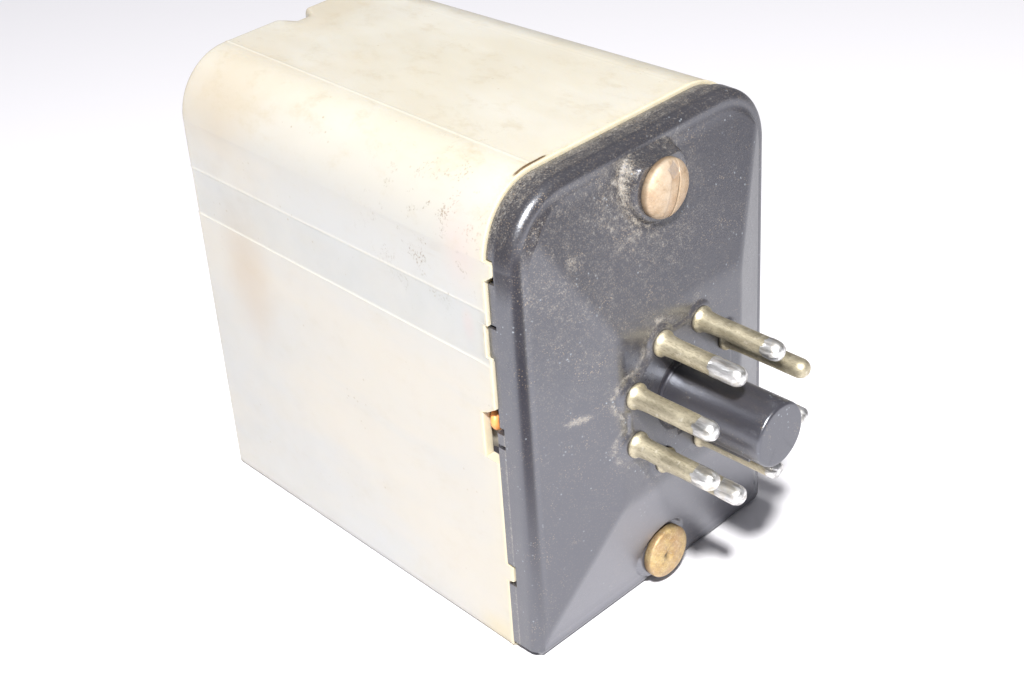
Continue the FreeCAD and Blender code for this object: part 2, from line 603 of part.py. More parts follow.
# ------------------------------------------------------- fixed contact stack
nc0 = nc_face - contact_t - strip_t
no0 = no_face + contact_t
sy = (block_y0 + block_y1) / 2
for name, z0, z1 in (("contact_block_lower", leg_top, nc0), ("contact_block_middle", nc0 + strip_t, no0),
                     ("contact_block_upper", no0 + strip_t, no0 + strip_t + 2.5)):
    b = body(name)
    prism(b, "slab", "XY", rect(-block_half, block_half, block_y0, block_y1), z0, z1)
    bore(b, "screw_holes", "XY", [(-4.5, sy, 1.3), (4.5, sy, 1.3)], z1 + 0.5, z0 - 0.5)
    soften(b, "slab_corners", 0.6, lambda e: straight(e) and e.BoundBox.ZLength > 1.0)
for k, sx in ((1, -1.0), (2, 1.0)):
    for kind, z0 in (("nc", nc0), ("no", no0)):
        b = body("%s_terminal_%d" % (kind, k), contact_x * sx)
        prism(b, "strip", "XY", rect(-blade_half, blade_half, 13.6, contact_y + 2.4), z0, z0 + strip_t)
        bore(b, "rivet_hole", "XY", [(0, contact_y, 0.85)], z0 + strip_t + 0.5, z0 - 0.5)
        soften(b, "strip_corners", 0.8, lambda e: straight(e) and e.BoundBox.ZLength > 0.4)
        b = body("%s_contact_%d" % (kind, k), contact_x * sx, contact_y)
        if kind == "nc":
            prof = [(0, z0 - 0.3), (1.3, z0 - 0.3), (1.3, z0), (0.8, z0), (0.8, z0 + strip_t),
                    (contact_r, z0 + strip_t), (contact_r, nc_face - 0.3), (contact_r * 0.6, nc_face), (0, nc_face)]
        else:
            prof = [(0, no_face), (contact_r * 0.6, no_face), (contact_r, no_face + 0.3), (contact_r, z0),
                    (0.8, z0), (0.8, z0 + strip_t), (1.3, z0 + strip_t), (1.3, z0 + strip_t + 0.3),
                    (0, z0 + strip_t + 0.3)]
        revolve(b, "contact_profile", "XZ", prof)

top = no0 + strip_t + 2.5
b = body("spring_bracket")
prism(b, "angle", "YZ", [(block_y0 + 1.0, top), (24.9, top), (24.9, spring_z + 1.4), (24.3, spring_z + 1.4),
                         (24.3, top + 0.6), (block_y0 + 1.0, top + 0.6)], -6.7, 6.7)
cut(b, "left_relief", "XZ", rect(-7.5, -2.4, top + 0.6, spring_z + 2.0), 25.5, 24.0)
cut(b, "right_relief", "XZ", rect(2.4, 7.5, top + 0.6, spring_z + 2.0), 25.5, 24.0)
bore(b, "anchor_hole", "XZ", [(0, spring_z, 0.7)], 25.5, 23.8)
bore(b, "screw_holes", "XY", [(-4.5, sy, 1.3), (4.5, sy, 1.3)], top + 1.0, top - 0.5)
b = body("block_screws")
for i, x in enumerate((-4.5, 4.5)):
    disc(b, "shank_%d" % i, "XY", x, sy, 1.2, 2.75, top + 0.6)
    disc(b, "head_%d" % i, "XY", x, sy, 2.2, top + 0.6, top + 2.0)
for i, x in enumerate((-4.5, 4.5)):
    cut(b, "slot_%d" % i, "XY", rect(x - 2.4, x + 2.4, sy - 0.3, sy + 0.3), top + 2.2, top + 1.3)

# tension spring from the lug on the armature to the bracket on the stack
b = body("return_spring", 0, 0, spring_z)
revolve(b, "spring_envelope", "XY", [
    (spring_r - 0.5, 27.0), (spring_r, 27.0), (spring_r, 48.6), (spring_r - 0.5, 48.6)])

# --------------------------------------------------------------------- wires
pe = pin_inner_end.v
zn, zo = nc0.v + strip_t.v / 2, no0.v + strip_t.v / 2
for k, sx in ((1, -1.0), (2, 1.0)):
    common, coil, no_pin, nc_pin = (PIN[0], PIN[1], PIN[2], PIN[3]) if k == 1 else (PIN[7], PIN[6], PIN[5], PIN[4])
    tube("nc_wire_%d" % k, [
        (nc_pin[0], pe, nc_pin[1]), (nc_pin[0], pe + 2.4, nc_pin[1]), (10.5 * sx, pe + 2.5, zn - 0.4),
        (10.5 * sx, 13.6, zn)], wire_r)
    tube("no_wire_%d" % k, [
        (no_pin[0], pe, no_pin[1]), (no_pin[0], pe + 2.4, no_pin[1]), (14.4 * sx, pe + 2.6, 5.6),
        (16.0 * sx, 14.6, 9.6), (15.9 * sx, 14.9, zo - 0.6), (13.0 * sx, 14.7, zo)], wire_r)
    tube("coil_lead_%d" % k, [
        (coil[0], pe, coil[1]), (coil[0], pe + 2.5, coil[1]), (14.2 * sx, pe + 3.0, -2.6),
        (17.9 * sx, pe + 3.1, -0.4), (17.6 * sx, pe + 4.1, 2.4), (15.2 * sx, 14.3, 0.2),
        (11.6 * sx, 13.9, -5.0), (11.4 * sx, f0.v - 0.12, -6.2)], wire_r)
    tube("pigtail_%d" % k, [
        (common[0], pe, common[1]), (common[0], pe + 2.3, common[1]), (11.2 * sx, pe + 2.2, -10.6),
        (15.9 * sx, 14.0, -10.4), (16.2 * sx, 27.0, -8.2), (16.1 * sx, 39.0, -0.5),
        (15.3 * sx, 45.8, 7.5), (12.0 * sx, 46.6, 12.0), (10.5 * sx, 42.9, blade_z.v + 0.15)], wire_r)

# -------------------------------------------------------------------- output
doc.recompute()
bad = [o.Name for o in doc.Objects if "Invalid" in o.State or "Error" in o.State]
if bad:
    raise RuntimeError("failed objects: %s" % bad)
labels = [p.Label for p in parts]
if len(set(labels)) != len(labels):
    raise RuntimeError("two sub-parts share a label")
for p in parts:
    if p.Shape.isNull() or not p.Shape.isValid() or p.Shape.Volume <= 0:
        raise RuntimeError("bad shape: " + p.Label)
os.makedirs("parts", exist_ok=True)
for p in parts:
    p.Shape.exportStep("parts/%s.step" % p.Label)
    print("%-24s solids %d  volume %9.2f" % (p.Label, len(p.Shape.Solids), p.Shape.Volume))
print("parts:", len(parts))
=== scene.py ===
import json
import math

import bpy
import numpy as np
from mathutils import Matrix, Vector


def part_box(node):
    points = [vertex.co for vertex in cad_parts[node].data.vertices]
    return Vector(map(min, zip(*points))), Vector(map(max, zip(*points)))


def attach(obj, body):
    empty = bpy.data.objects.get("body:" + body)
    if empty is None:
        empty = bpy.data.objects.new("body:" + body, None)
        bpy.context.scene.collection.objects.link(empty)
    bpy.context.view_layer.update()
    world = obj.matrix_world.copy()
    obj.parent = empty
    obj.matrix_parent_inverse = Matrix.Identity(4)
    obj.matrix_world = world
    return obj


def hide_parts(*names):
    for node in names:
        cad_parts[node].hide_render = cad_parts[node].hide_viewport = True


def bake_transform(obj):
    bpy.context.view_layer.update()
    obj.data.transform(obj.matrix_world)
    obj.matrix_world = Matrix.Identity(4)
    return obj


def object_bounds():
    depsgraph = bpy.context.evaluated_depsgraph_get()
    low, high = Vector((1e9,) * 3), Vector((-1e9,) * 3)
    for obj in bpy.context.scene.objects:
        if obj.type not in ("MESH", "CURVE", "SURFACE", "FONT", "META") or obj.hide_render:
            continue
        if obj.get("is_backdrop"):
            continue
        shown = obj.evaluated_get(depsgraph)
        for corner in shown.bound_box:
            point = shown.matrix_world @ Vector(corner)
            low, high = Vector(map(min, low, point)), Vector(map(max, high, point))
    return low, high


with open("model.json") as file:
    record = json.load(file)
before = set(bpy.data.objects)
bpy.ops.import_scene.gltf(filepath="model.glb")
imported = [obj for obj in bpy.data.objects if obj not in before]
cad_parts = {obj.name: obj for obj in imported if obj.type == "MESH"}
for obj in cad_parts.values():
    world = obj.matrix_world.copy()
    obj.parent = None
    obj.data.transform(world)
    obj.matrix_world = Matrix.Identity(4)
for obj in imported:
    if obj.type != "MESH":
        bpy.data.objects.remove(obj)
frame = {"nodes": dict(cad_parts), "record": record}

box_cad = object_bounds()
record = frame["record"]
nodes = frame["nodes"]
MM = 0.001


def mm_box(name):
    lo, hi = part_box(name)
    return np.array(lo) / MM, np.array(hi) / MM


# ------------------------------------------------------------ sizes from the frame
b_lo, b_hi = mm_box("base")
HW, ZL, ZH = float(b_hi[0]), float(b_lo[2]), float(b_hi[2])
SPIGOT_END, SKIRT_END = float(b_lo[1]), float(b_hi[1])
c_lo, c_hi = mm_box("cover")
COVER_END = float(c_hi[1])
ZC = 0.5 * (ZL + ZH)
RT, RL = 8.5, 1.2                      # outline corner radii, upper and lower
RIM, STEP, EDGE = 4.87, 7.85, 9.05     # rim front, band step, cover edge
PINS = {}
for k in range(1, 9):
    lo, hi = mm_box("pin_%d" % k)
    PINS[k] = ((lo[0] + hi[0]) / 2, (lo[2] + hi[2]) / 2)
PIN_TIP = float(mm_box("pin_1")[0][1])
PIN_IN = float(mm_box("pin_1")[1][1])
PIN_R = float(mm_box("pin_1")[1][0] - mm_box("pin_1")[0][0]) / 2
SCREWS = {}
for nm in ("upper_base_screw", "lower_base_screw"):
    lo, hi = mm_box(nm)
    SCREWS[nm] = (float(lo[2] + hi[2]) / 2, float(lo[1]), float(hi[1]), float(hi[0]))


# ------------------------------------------------------------------ mesh helpers
def make(name, verts, faces, smooth=True, sharp=None, attrs=None):
    """Mesh object from millimetre vertices."""
    me = bpy.data.meshes.new(name)
    v = np.asarray(verts, float) * MM
    me.from_pydata(v.tolist(), [], [list(map(int, f)) for f in faces])
    me.validate()
    me.update()
    if smooth:
        me.shade_smooth()
        if sharp:
            me.set_sharp_from_angle(angle=math.radians(sharp))
    for key, values in (attrs or {}).items():
        a = me.attributes.new(key, "FLOAT", "POINT")
        a.data.foreach_set("value", np.asarray(values, np.float32))
    ob = bpy.data.objects.new(name, me)
    bpy.context.scene.collection.objects.link(ob)
    return ob


def orient(ob):
    """Face normals outwards on a closed shell."""
    import bmesh
    bm = bmesh.new()
    bm.from_mesh(ob.data)
    bmesh.ops.recalc_face_normals(bm, faces=bm.faces)
    bm.to_mesh(ob.data)
    bm.free()
    ob.data.update()


class Builder:
    """Collects lofted rings into one mesh."""

    def __init__(self):
        self.v, self.f, self.n = [], [], 0
        self.attr = {}

    def rows(self, rows, pole0=None, pole1=None, closed=True):
        start = self.n
        m = len(rows[0])
        idx = []
        if pole0 is not None:
            self.v.append(np.asarray([pole0], float))
            p0 = self.n
            self.n += 1
        for r in rows:
            self.v.append(np.asarray(r, float))
            idx.append(self.n)
            self.n += m
        i = np.arange(m if closed else m - 1)
        j = (i + 1) % m
        for a, b in zip(idx[:-1], idx[1:]):
            self.f.extend(np.stack([a + i, a + j, b + j, b + i], 1).tolist())
        if pole0 is not None:
            self.f.extend(np.stack([np.full_like(i, p0), idx[0] + j, idx[0] + i], 1).tolist())
        if pole1 is not None:
            self.v.append(np.asarray([pole1], float))
            p1 = self.n
            self.n += 1
            self.f.extend(np.stack([np.full_like(i, p1), idx[-1] + i, idx[-1] + j], 1).tolist())
        return start, self.n

    def verts(self):
        return np.concatenate(self.v)


def ring(r, y, n=48, cx=0.0, cz=0.0, phase=0.0):
    a = phase + np.linspace(0, 2 * math.pi, n, endpoint=False)
    r = np.broadcast_to(np.asarray(r, float), a.shape)
    y = np.broadcast_to(np.asarray(y, float), a.shape)
    return np.stack([cx + r * np.cos(a), y, cz + r * np.sin(a)], 1)


def smin(a, b, k):
    h = np.maximum(k - np.abs(a - b), 0.0) / k
    return np.minimum(a, b) - h * h * k * 0.25


def smax(a, b, k):
    return -smin(-a, -b, k)


def bell(x, w):
    return np.exp(-(x / w) ** 2)


def step01(x, a, b):
    t = np.clip((x - a) / (b - a), 0, 1)
    return t * t * (3 - 2 * t)


def lattice(seed, n=256):
    return np.random.default_rng(seed).uniform(-1, 1, (n, n))


def vnoise(u, v, seed):
    """Smooth value noise of two coordinates, the same on every run."""
    g = lattice(seed)
    n = g.shape[0]
    iu, iv = np.floor(u).astype(int), np.floor(v).astype(int)
    fu, fv = u - iu, v - iv
    fu, fv = fu * fu * (3 - 2 * fu), fv * fv * (3 - 2 * fv)
    a, b = g[iu % n, iv % n], g[(iu + 1) % n, iv % n]
    c, d = g[iu % n, (iv + 1) % n], g[(iu + 1) % n, (iv + 1) % n]
    return (a * (1 - fu) + b * fu) * (1 - fv) + (c * (1 - fu) + d * fu) * fv


def fill(a, b, breaks, step, zones=()):
    """Ascending samples from a to b, a close pair at each break, finer in the zones."""
    marks = sorted([a, b] + [x for x in breaks if a < x < b] + [e for z in zones for e in z[:2] if a < e < b])
    out = []
    for p, q in zip(marks[:-1], marks[1:]):
        s = step
        for z0, z1, zs in zones:
            if p >= z0 - 1e-9 and q <= z1 + 1e-9:
                s = min(s, zs)
        lo = p + (0.012 if p in breaks else 0.0)
        hi = q - (0.012 if q in breaks else 0.0)
        n = max(1, int(math.ceil((hi - lo) / s)))
        pts = np.linspace(lo, hi, n + 1)
        out.extend(pts if (q in breaks or q == b) else pts[:-1])
    return np.array(out)


class Outline:
    """Upright rounded outline: kinds 0 bottom, 1 low right corner, 2 right side, 3 top right corner, 4 top, then mirrored."""

    def __init__(self, bottom, side, top, a_top, a_low):
        k, u = [], []

        def add(kind, values):
            k.extend([kind] * len(values))
            u.extend(values)

        add(0, bottom)
        add(1, a_low[1:-1])
        add(2, side)
        add(3, a_top[1:-1])
        add(4, top[::-1])
        add(5, a_top[1:-1][::-1])
        add(6, side[::-1])
        add(7, a_low[1:-1][::-1])
        self.k, self.u = np.array(k), np.array(u, float)
        self.n = len(k)

    def at(self, d=0.0, hw=HW, zl=ZL, zh=ZH, rt=RT, rl=RL):
        k, u = self.k, self.u
        full = np.ones(self.n)
        d, hw, zh, rt = d * full, hw * full, zh * full, rt * full
        r_t, r_l = np.maximum(rt - d, 0.05), np.maximum(rl - d, 0.05)
        ct, cl = d + r_t, d + r_l
        x, z = np.zeros(self.n), np.zeros(self.n)
        m = k == 0
        x[m], z[m] = (u * (hw - cl) / (HW - RL))[m], (zl + d)[m]
        for kind, s in ((1, 1.0), (7, -1.0)):
            m = k == kind
            x[m] = s * (hw - cl + r_l * np.cos(u))[m]
            z[m] = (zl + cl + r_l * np.sin(u))[m]
        low, high = ZL + RL, ZH - RT
        zz = u.copy()
        a = low + 3.0
        zz = np.where(u < a, (zl + cl) + (u - low) * (a - (zl + cl)) / (a - low), zz)
        c = high - 3.0
        zz = np.where(u > c, c + (u - c) * ((zh - ct) - c) / (high - c), zz)
        for kind, s in ((2, 1.0), (6, -1.0)):
            m = k == kind
            x[m], z[m] = s * (hw - d)[m], zz[m]
        for kind, s in ((3, 1.0), (5, -1.0)):
            m = k == kind
            x[m] = s * (hw - ct + r_t * np.cos(u))[m]
            z[m] = (zh - ct + r_t * np.sin(u))[m]
        m = k == 4
        x[m], z[m] = (u * (hw - ct) / (HW - RT))[m], (zh - d)[m]
        return x, z

    def row(self, y, d=0.0, **o):
        x, z = self.at(d, **o)
        return np.stack([x, np.broadcast_to(np.asarray(y, float), x.shape), z], 1)


# ----------------------------------------------------------------- material kit
class Mat:
    def __init__(self, name, color, rough, metal=0.0, ior=1.5, **extra):
        self.m = bpy.data.materials.new(name)
        self.m.use_nodes = True
        self.t = self.m.node_tree
        self.t.nodes.clear()
        out = self.t.nodes.new("ShaderNodeOutputMaterial")
        self.b = self.t.nodes.new("ShaderNodeBsdfPrincipled")
        self.t.links.new(self.b.outputs[0], out.inputs[0])
        self.b.inputs["Base Color"].default_value = (*color, 1)
        self.b.inputs["Roughness"].default_value = rough
        self.b.inputs["Metallic"].default_value = metal
        self.b.inputs["IOR"].default_value = ior
        for key, value in extra.items():
            self.b.inputs[key.replace("_", " ")].default_value = value
        self._c = None

    def node(self, kind, **props):
        n = self.t.nodes.new(kind)
        for k, v in props.items():
            setattr(n, k, v)
        return n

    def put(self, node, sock, val):
        s = node.inputs[sock]
        if isinstance(val, bpy.types.NodeSocket):
            self.t.links.new(val, s)
        elif isinstance(val, (tuple, list)) and len(val) == 3 and s.type == "RGBA":
            s.default_value = (*val, 1)
        else:
            s.default_value = val

    @property
    def co(self):
        if self._c is None:
            self._c = self.node("ShaderNodeTexCoord").outputs["Object"]
        return self._c

    def scaled(self, sx, sy, sz, vec=None, off=(0, 0, 0)):
        n = self.node("ShaderNodeMapping")
        self.put(n, "Vector", vec or self.co)
        n.inputs["Scale"].default_value = (sx, sy, sz)
        n.inputs["Location"].default_value = off
        return n.outputs[0]

    def noise(self, scale, detail=3.0, rough=0.5, vec=None, dist=0.0):
        n = self.node("ShaderNodeTexNoise")
        self.put(n, "Vector", vec or self.co)
        n.inputs["Scale"].default_value = scale
        n.inputs["Detail"].default_value = detail
        n.inputs["Roughness"].default_value = rough
        n.inputs["Distortion"].default_value = dist
        return n.outputs["Fac"]

    def voronoi(self, scale, vec=None, feature="F1", rand=1.0):
        n = self.node("ShaderNodeTexVoronoi", feature=feature)
        self.put(n, "Vector", vec or self.co)
        n.inputs["Scale"].default_value = scale
        n.inputs["Randomness"].default_value = rand
        return n.outputs["Distance"]

    def wave(self, scale, vec=None, direction="X", dist=0.0, detail=2.0, dscale=1.0):
        n = self.node("ShaderNodeTexWave", bands_direction=direction)
        self.put(n, "Vector", vec or self.co)
        n.inputs["Scale"].default_value = scale
        n.inputs["Distortion"].default_value = dist
        n.inputs["Detail"].default_value = detail
        n.inputs["Detail Scale"].default_value = dscale
        return n.outputs["Fac"]

    def attr(self, name):
        n = self.node("ShaderNodeAttribute", attribute_name=name)
        return n.outputs["Fac"]

    def xyz(self):
        n = self.node("ShaderNodeSeparateXYZ")
        self.put(n, 0, self.co)
        return n.outputs

    def math(self, op, a, b=0.0, c=0.0, clamp=False):
        n = self.node("ShaderNodeMath", operation=op, use_clamp=clamp)
        self.put(n, 0, a)
        self.put(n, 1, b)
        self.put(n, 2, c)
        return n.outputs[0]

    def band(self, v, lo, hi, out0=0.0, out1=1.0):
        n = self.node("ShaderNodeMapRange", interpolation_type="SMOOTHSTEP")
        self.put(n, "Value", v)
        n.inputs["From Min"].default_value = lo
        n.inputs["From Max"].default_value = hi
        n.inputs["To Min"].default_value = out0
        n.inputs["To Max"].default_value = out1
        return n.outputs[0]

    def mix(self, fac, a, b, blend="MIX"):
        n = self.node("ShaderNodeMix", data_type="RGBA", blend_type=blend)
        s = {x.identifier: x for x in n.inputs}
        for key, val in (("Factor_Float", fac), ("A_Color", a), ("B_Color", b)):
            if isinstance(val, bpy.types.NodeSocket):
                self.t.links.new(val, s[key])
            elif key == "Factor_Float":
                s[key].default_value = val
            else:
                s[key].default_value = (*val, 1)
        return [o for o in n.outputs if o.identifier == "Result_Color"][0]

    def blob(self, centre, radius, soft=0.5, stretch=(1, 1, 1), wob=0.25, scale=400.0):
        """1 inside a soft spot round a point given in millimetres."""
        n = self.node("ShaderNodeMapping")
        self.put(n, "Vector", self.co)
        s = [1.0 / (MM * radius * k) for k in stretch]
        n.inputs["Scale"].default_value = s
        n.inputs["Location"].default_value = [-c * MM * k for c, k in zip(centre, s)]
        ln = self.node("ShaderNodeVectorMath", operation="LENGTH")
        self.put(ln, 0, n.outputs[0])
        d = self.math("ADD", ln.outputs["Value"], self.math("MULTIPLY", self.math("SUBTRACT", self.noise(scale, 3.0), 0.5), wob * 2))
        return self.band(d, 1.0 + soft, 1.0 - soft)

    def bump(self, height, strength=0.3, dist=0.0001, normal=None):
        n = self.node("ShaderNodeBump")
        n.inputs["Strength"].default_value = strength
        n.inputs["Distance"].default_value = dist
        self.put(n, "Height", height)
        if normal is not None:
            self.put(n, "Normal", normal)
        return n.outputs[0]

    def color(self, s):
        self.put(self.b, "Base Color", s)

    def rough(self, s):
        self.put(self.b, "Roughness", s)

    def normal(self, s):
        self.put(self.b, "Normal", s)


def mat_phenolic():
    m = Mat("phenolic_black", (0.02, 0.02, 0.024), 0.3, ior=2.2)
    dust = m.attr("dust")
    shade = m.attr("shade")
    cloud = m.noise(45, 4.0, 0.55)
    fine = m.math("MULTIPLY", m.math("SUBTRACT", m.noise(5200, 3.0, 0.7), 0.5), 3.0)
    mid = m.math("MULTIPLY", m.math("SUBTRACT", m.noise(1500, 5.0, 0.72), 0.5), 2.2)
    base = m.mix(m.band(cloud, 0.3, 0.75), (0.019, 0.019, 0.026), (0.030, 0.029, 0.037))
    # painted reflection: the slope that faces down is lightened as if it showed the bright floor
    base = m.mix(m.math("MULTIPLY", m.attr("painted_floor_sheen"), m.band(cloud, 0.25, 0.75, 0.11, 0.21)), base, (0.36, 0.355, 0.40))
    base = m.mix(m.math("MULTIPLY", dust, 0.20), base, (0.27, 0.245, 0.21))
    film = m.math("ADD", dust, m.math("ADD", m.math("MULTIPLY", fine, 0.52), m.math("MULTIPLY", mid, 0.30)))
    cover = m.band(film, 0.26, 0.98)
    base = m.mix(m.math("MULTIPLY", cover, 0.80), base, m.mix(m.band(mid, -0.6, 0.6), (0.22, 0.195, 0.155), (0.40, 0.375, 0.335)))
    # single grains: pale and tan specks
    g1 = m.band(m.voronoi(1500), 0.24, 0.10)
    pick1 = m.band(m.noise(240, 3.0, 0.7), 0.53, 0.66)
    g2 = m.band(m.voronoi(3600), 0.34, 0.14)
    pick2 = m.math("ADD", m.math("MULTIPLY", m.band(m.noise(300, 3.0, 0.7), 0.50, 0.70), 0.75), m.math("MULTIPLY", dust, 1.2), clamp=True)
    base = m.mix(m.math("MULTIPLY", m.math("MULTIPLY", g1, pick1), 0.8), base, (0.25, 0.275, 0.30))
    base = m.mix(m.math("MULTIPLY", m.math("MULTIPLY", g2, pick2), 0.5), base, (0.42, 0.32, 0.21))
    m.color(base)
    m.rough(m.math("ADD", m.math("ADD", m.band(cloud, 0.3, 0.8, 0.28, 0.35), m.math("MULTIPLY", mid, 0.06)), m.math("MULTIPLY", cover, 0.4), clamp=True))
    # painted shade on the reflections: where the shade attribute is high the specular tint goes nearly black
    m.put(m.b, "Specular Tint", m.mix(shade, (0.85, 0.885, 0.965), (0.07, 0.07, 0.09)))
    n = m.bump(m.noise(260, 3.0), 0.05, 0.0001)
    n = m.bump(m.math("ADD", m.math("MULTIPLY", g1, 0.6), m.math("ADD", fine, m.math("MULTIPLY", mid, 0.8))), 0.22, 0.00003, n)
    m.normal(n)
    return m.m


def mat_nylon():
    m = Mat("nylon_milky", (0.47, 0.46, 0.43), 0.42, ior=1.45,
            Subsurface_Weight=0.18, Subsurface_Scale=0.004)
    m.b.inputs["Subsurface Radius"].default_value = (1.0, 0.75, 0.45)
    x, y, z = m.xyz()
    big = m.noise(42, 4.0, 0.6, vec=m.scaled(1.0, 0.45, 1.0), dist=0.4)
    wide = m.noise(24, 3.0, 0.5)
    mid = m.noise(170, 4.0, 0.6)
    streak = m.noise(130, 4.0, 0.6, vec=m.scaled(1.0, 0.10, 1.0))
    # the top's yellower tint is the cover's own; keeping it darker than its stronger lighting would show is painted
    # shade
    up = m.band(z, 0.019, 0.0305)
    side = m.mix(m.band(big, 0.36, 0.66), (0.462, 0.464, 0.456), (0.512, 0.484, 0.432))
    side = m.mix(m.band(wide, 0.50, 0.75, 0.0, 0.5), side, (0.512, 0.480, 0.420))
    side = m.mix(m.band(streak, 0.55, 0.75, 0.0, 0.35), side, (0.44, 0.455, 0.46))
    top = m.mix(m.band(big, 0.34, 0.66), (0.520, 0.487, 0.408), (0.556, 0.538, 0.486))
    top = m.mix(m.band(streak, 0.52, 0.72, 0.0, 0.5), top, (0.545, 0.512, 0.432))
    c = m.mix(up, side, top)
    turn = m.math("SUBTRACT", m.band(z, 0.018, 0.0245), m.band(z, 0.0275, 0.0306), clamp=True)
    c = m.mix(m.math("MULTIPLY", turn, 0.5), c, m.mix(m.band(big, 0.36, 0.66), (0.425, 0.418, 0.398), (0.455, 0.43, 0.385)))
    # painted light: pinkish places where the copper inside shows through the cover; then a yellowish place and dirt
    c = m.mix(m.math("MULTIPLY", m.blob((-20.5, 12.9, 25.0), 2.6, 0.8, (2, 1, 1.9)), 0.5), c, (0.52, 0.43, 0.41))
    c = m.mix(m.math("MULTIPLY", m.blob((-20.5, 12.6, 14.0), 1.0, 0.8, (3, 0.8, 1.6)), 0.5), c, (0.54, 0.42, 0.40))
    c = m.mix(m.math("MULTIPLY", m.blob((-20.3, 11.0, -29.3), 2.0, 0.9, (2, 1.6, 1.0)), 0.5), c, (0.56, 0.46, 0.25))
    c = m.mix(m.math("MULTIPLY", m.blob((-19.0, 55.5, 3.5), 5.5, 0.9, (2, 0.7, 1.3), 0.5, 150.0), 0.30), c, (0.40, 0.27, 0.15))
    c = m.mix(m.math("MULTIPLY", m.blob((-19.0, 59.0, 27.0), 7.0, 0.9, (1.6, 0.8, 0.8), 0.5, 120.0), 0.30), c, (0.44, 0.33, 0.19))
    c = m.mix(m.math("MULTIPLY", m.blob((-20.4, 39.1, 27.9), 0.55, 0.5, (2, 1.4, 1.0)), 0.55), c, (0.26, 0.18, 0.09))
    edge = m.attr("edge")
    c = m.mix(edge, c, (0.62, 0.555, 0.40))
    # faint mottling, stronger on the upper faces
    mott = m.band(m.noise(300, 6.0, 0.72, vec=m.scaled(1.0, 0.6, 1.0)), 0.50, 0.72)
    c = m.mix(m.math("MULTIPLY", mott, m.math("ADD", m.math("MULTIPLY", up, 0.26), 0.12)), c, (0.40, 0.335, 0.225))
    far = m.math("MULTIPLY", m.band(y, 0.030, 0.064), m.band(m.noise(70, 4.0, 0.6), 0.45, 0.66))
    c = m.mix(m.math("MULTIPLY", far, m.math("ADD", m.math("MULTIPLY", up, 0.22), 0.06)), c, (0.45, 0.36, 0.23))
    line = m.attr("line")
    c = m.mix(line, c, (0.60, 0.585, 0.52))
    panel = m.attr("panel")
    c = m.mix(m.math("MULTIPLY", panel, m.band(mid, 0.3, 0.75, 0.22, 0.40)), c, (0.37, 0.39, 0.395))
    stain_and_gap_shade = m.attr("stain_and_gap_shade")
    c = m.mix(m.math("MULTIPLY", stain_and_gap_shade, m.band(mid, 0.35, 0.7, 0.1, 0.9), clamp=True), c, (0.30, 0.20, 0.10))
    # above one: painted shade of the gap between the cover edge and the base
    c = m.mix(m.math("SUBTRACT", stain_and_gap_shade, 1.0, clamp=True), c, (0.11, 0.065, 0.03))
    zone = m.blob((-20.4, 19.0, 23.0), 9.5, 0.6, (1.5, 1.0, 0.8), 0.4, 200.0)
    dirt = m.math("MULTIPLY", m.band(m.noise(2600, 4.0, 0.75), 0.50, 0.62), m.band(m.noise(330, 4.0, 0.75), 0.54, 0.62))
    c = m.mix(m.math("MULTIPLY", m.math("MULTIPLY", dirt, zone), 0.8), c, (0.20, 0.15, 0.10))
    speck = m.math("MULTIPLY", m.band(m.voronoi(900), 0.17, 0.08), m.band(m.noise(160, 3.0, 0.7), 0.55, 0.68))
    c = m.mix(m.math("MULTIPLY", speck, 0.5), c, (0.28, 0.21, 0.12))
    m.color(c)
    m.rough(m.band(mid, 0.3, 0.75, 0.34, 0.52))
    n = m.bump(m.noise(55, 2.0), 0.12, 0.0006)
    n = m.bump(m.noise(700, 3.0), 0.10, 0.00006, n)
    m.normal(n)
    return m.m


def mat_pin():
    m = Mat("pin_nickel", (0.50, 0.44, 0.32), 0.40, metal=0.88, ior=1.6)
    tip = m.attr("solder")
    patch = m.noise(420, 4.0, 0.65)
    fine = m.noise(6000, 3.0, 0.65, vec=m.scaled(1.0, 0.3, 1.0))
    metal = m.mix(m.band(patch, 0.3, 0.7), (0.50, 0.45, 0.325), (0.63, 0.575, 0.43))
    metal = m.mix(m.band(fine, 0.46, 0.68, 0.0, 0.55), metal, (0.29, 0.245, 0.17))
    metal = m.mix(m.band(m.noise(1500, 3.0), 0.60, 0.72, 0.0, 0.5), metal, (0.80, 0.76, 0.66))
    cut = m.noise(1500, 3.0, 0.6, vec=m.scaled(1.0, 0.15, 1.0))
    solder = m.mix(m.band(cut, 0.36, 0.62), (0.40, 0.395, 0.385), (0.88, 0.88, 0.88))
    solder = m.mix(m.band(patch, 0.50, 0.70, 0.0, 0.5), solder, (0.66, 0.60, 0.48))
    m.color(m.mix(m.band(tip, 0.35, 0.65), metal, solder))
    m.rough(m.math("ADD", m.band(patch, 0.3, 0.75, 0.46, 0.60), m.math("MULTIPLY", tip, -0.17)))
    m.normal(m.bump(m.math("ADD", m.math("MULTIPLY", fine, 0.8), m.math("MULTIPLY", m.math("MULTIPLY", tip, cut), 2.4)),
                    0.35, 0.00008))
    return m.m


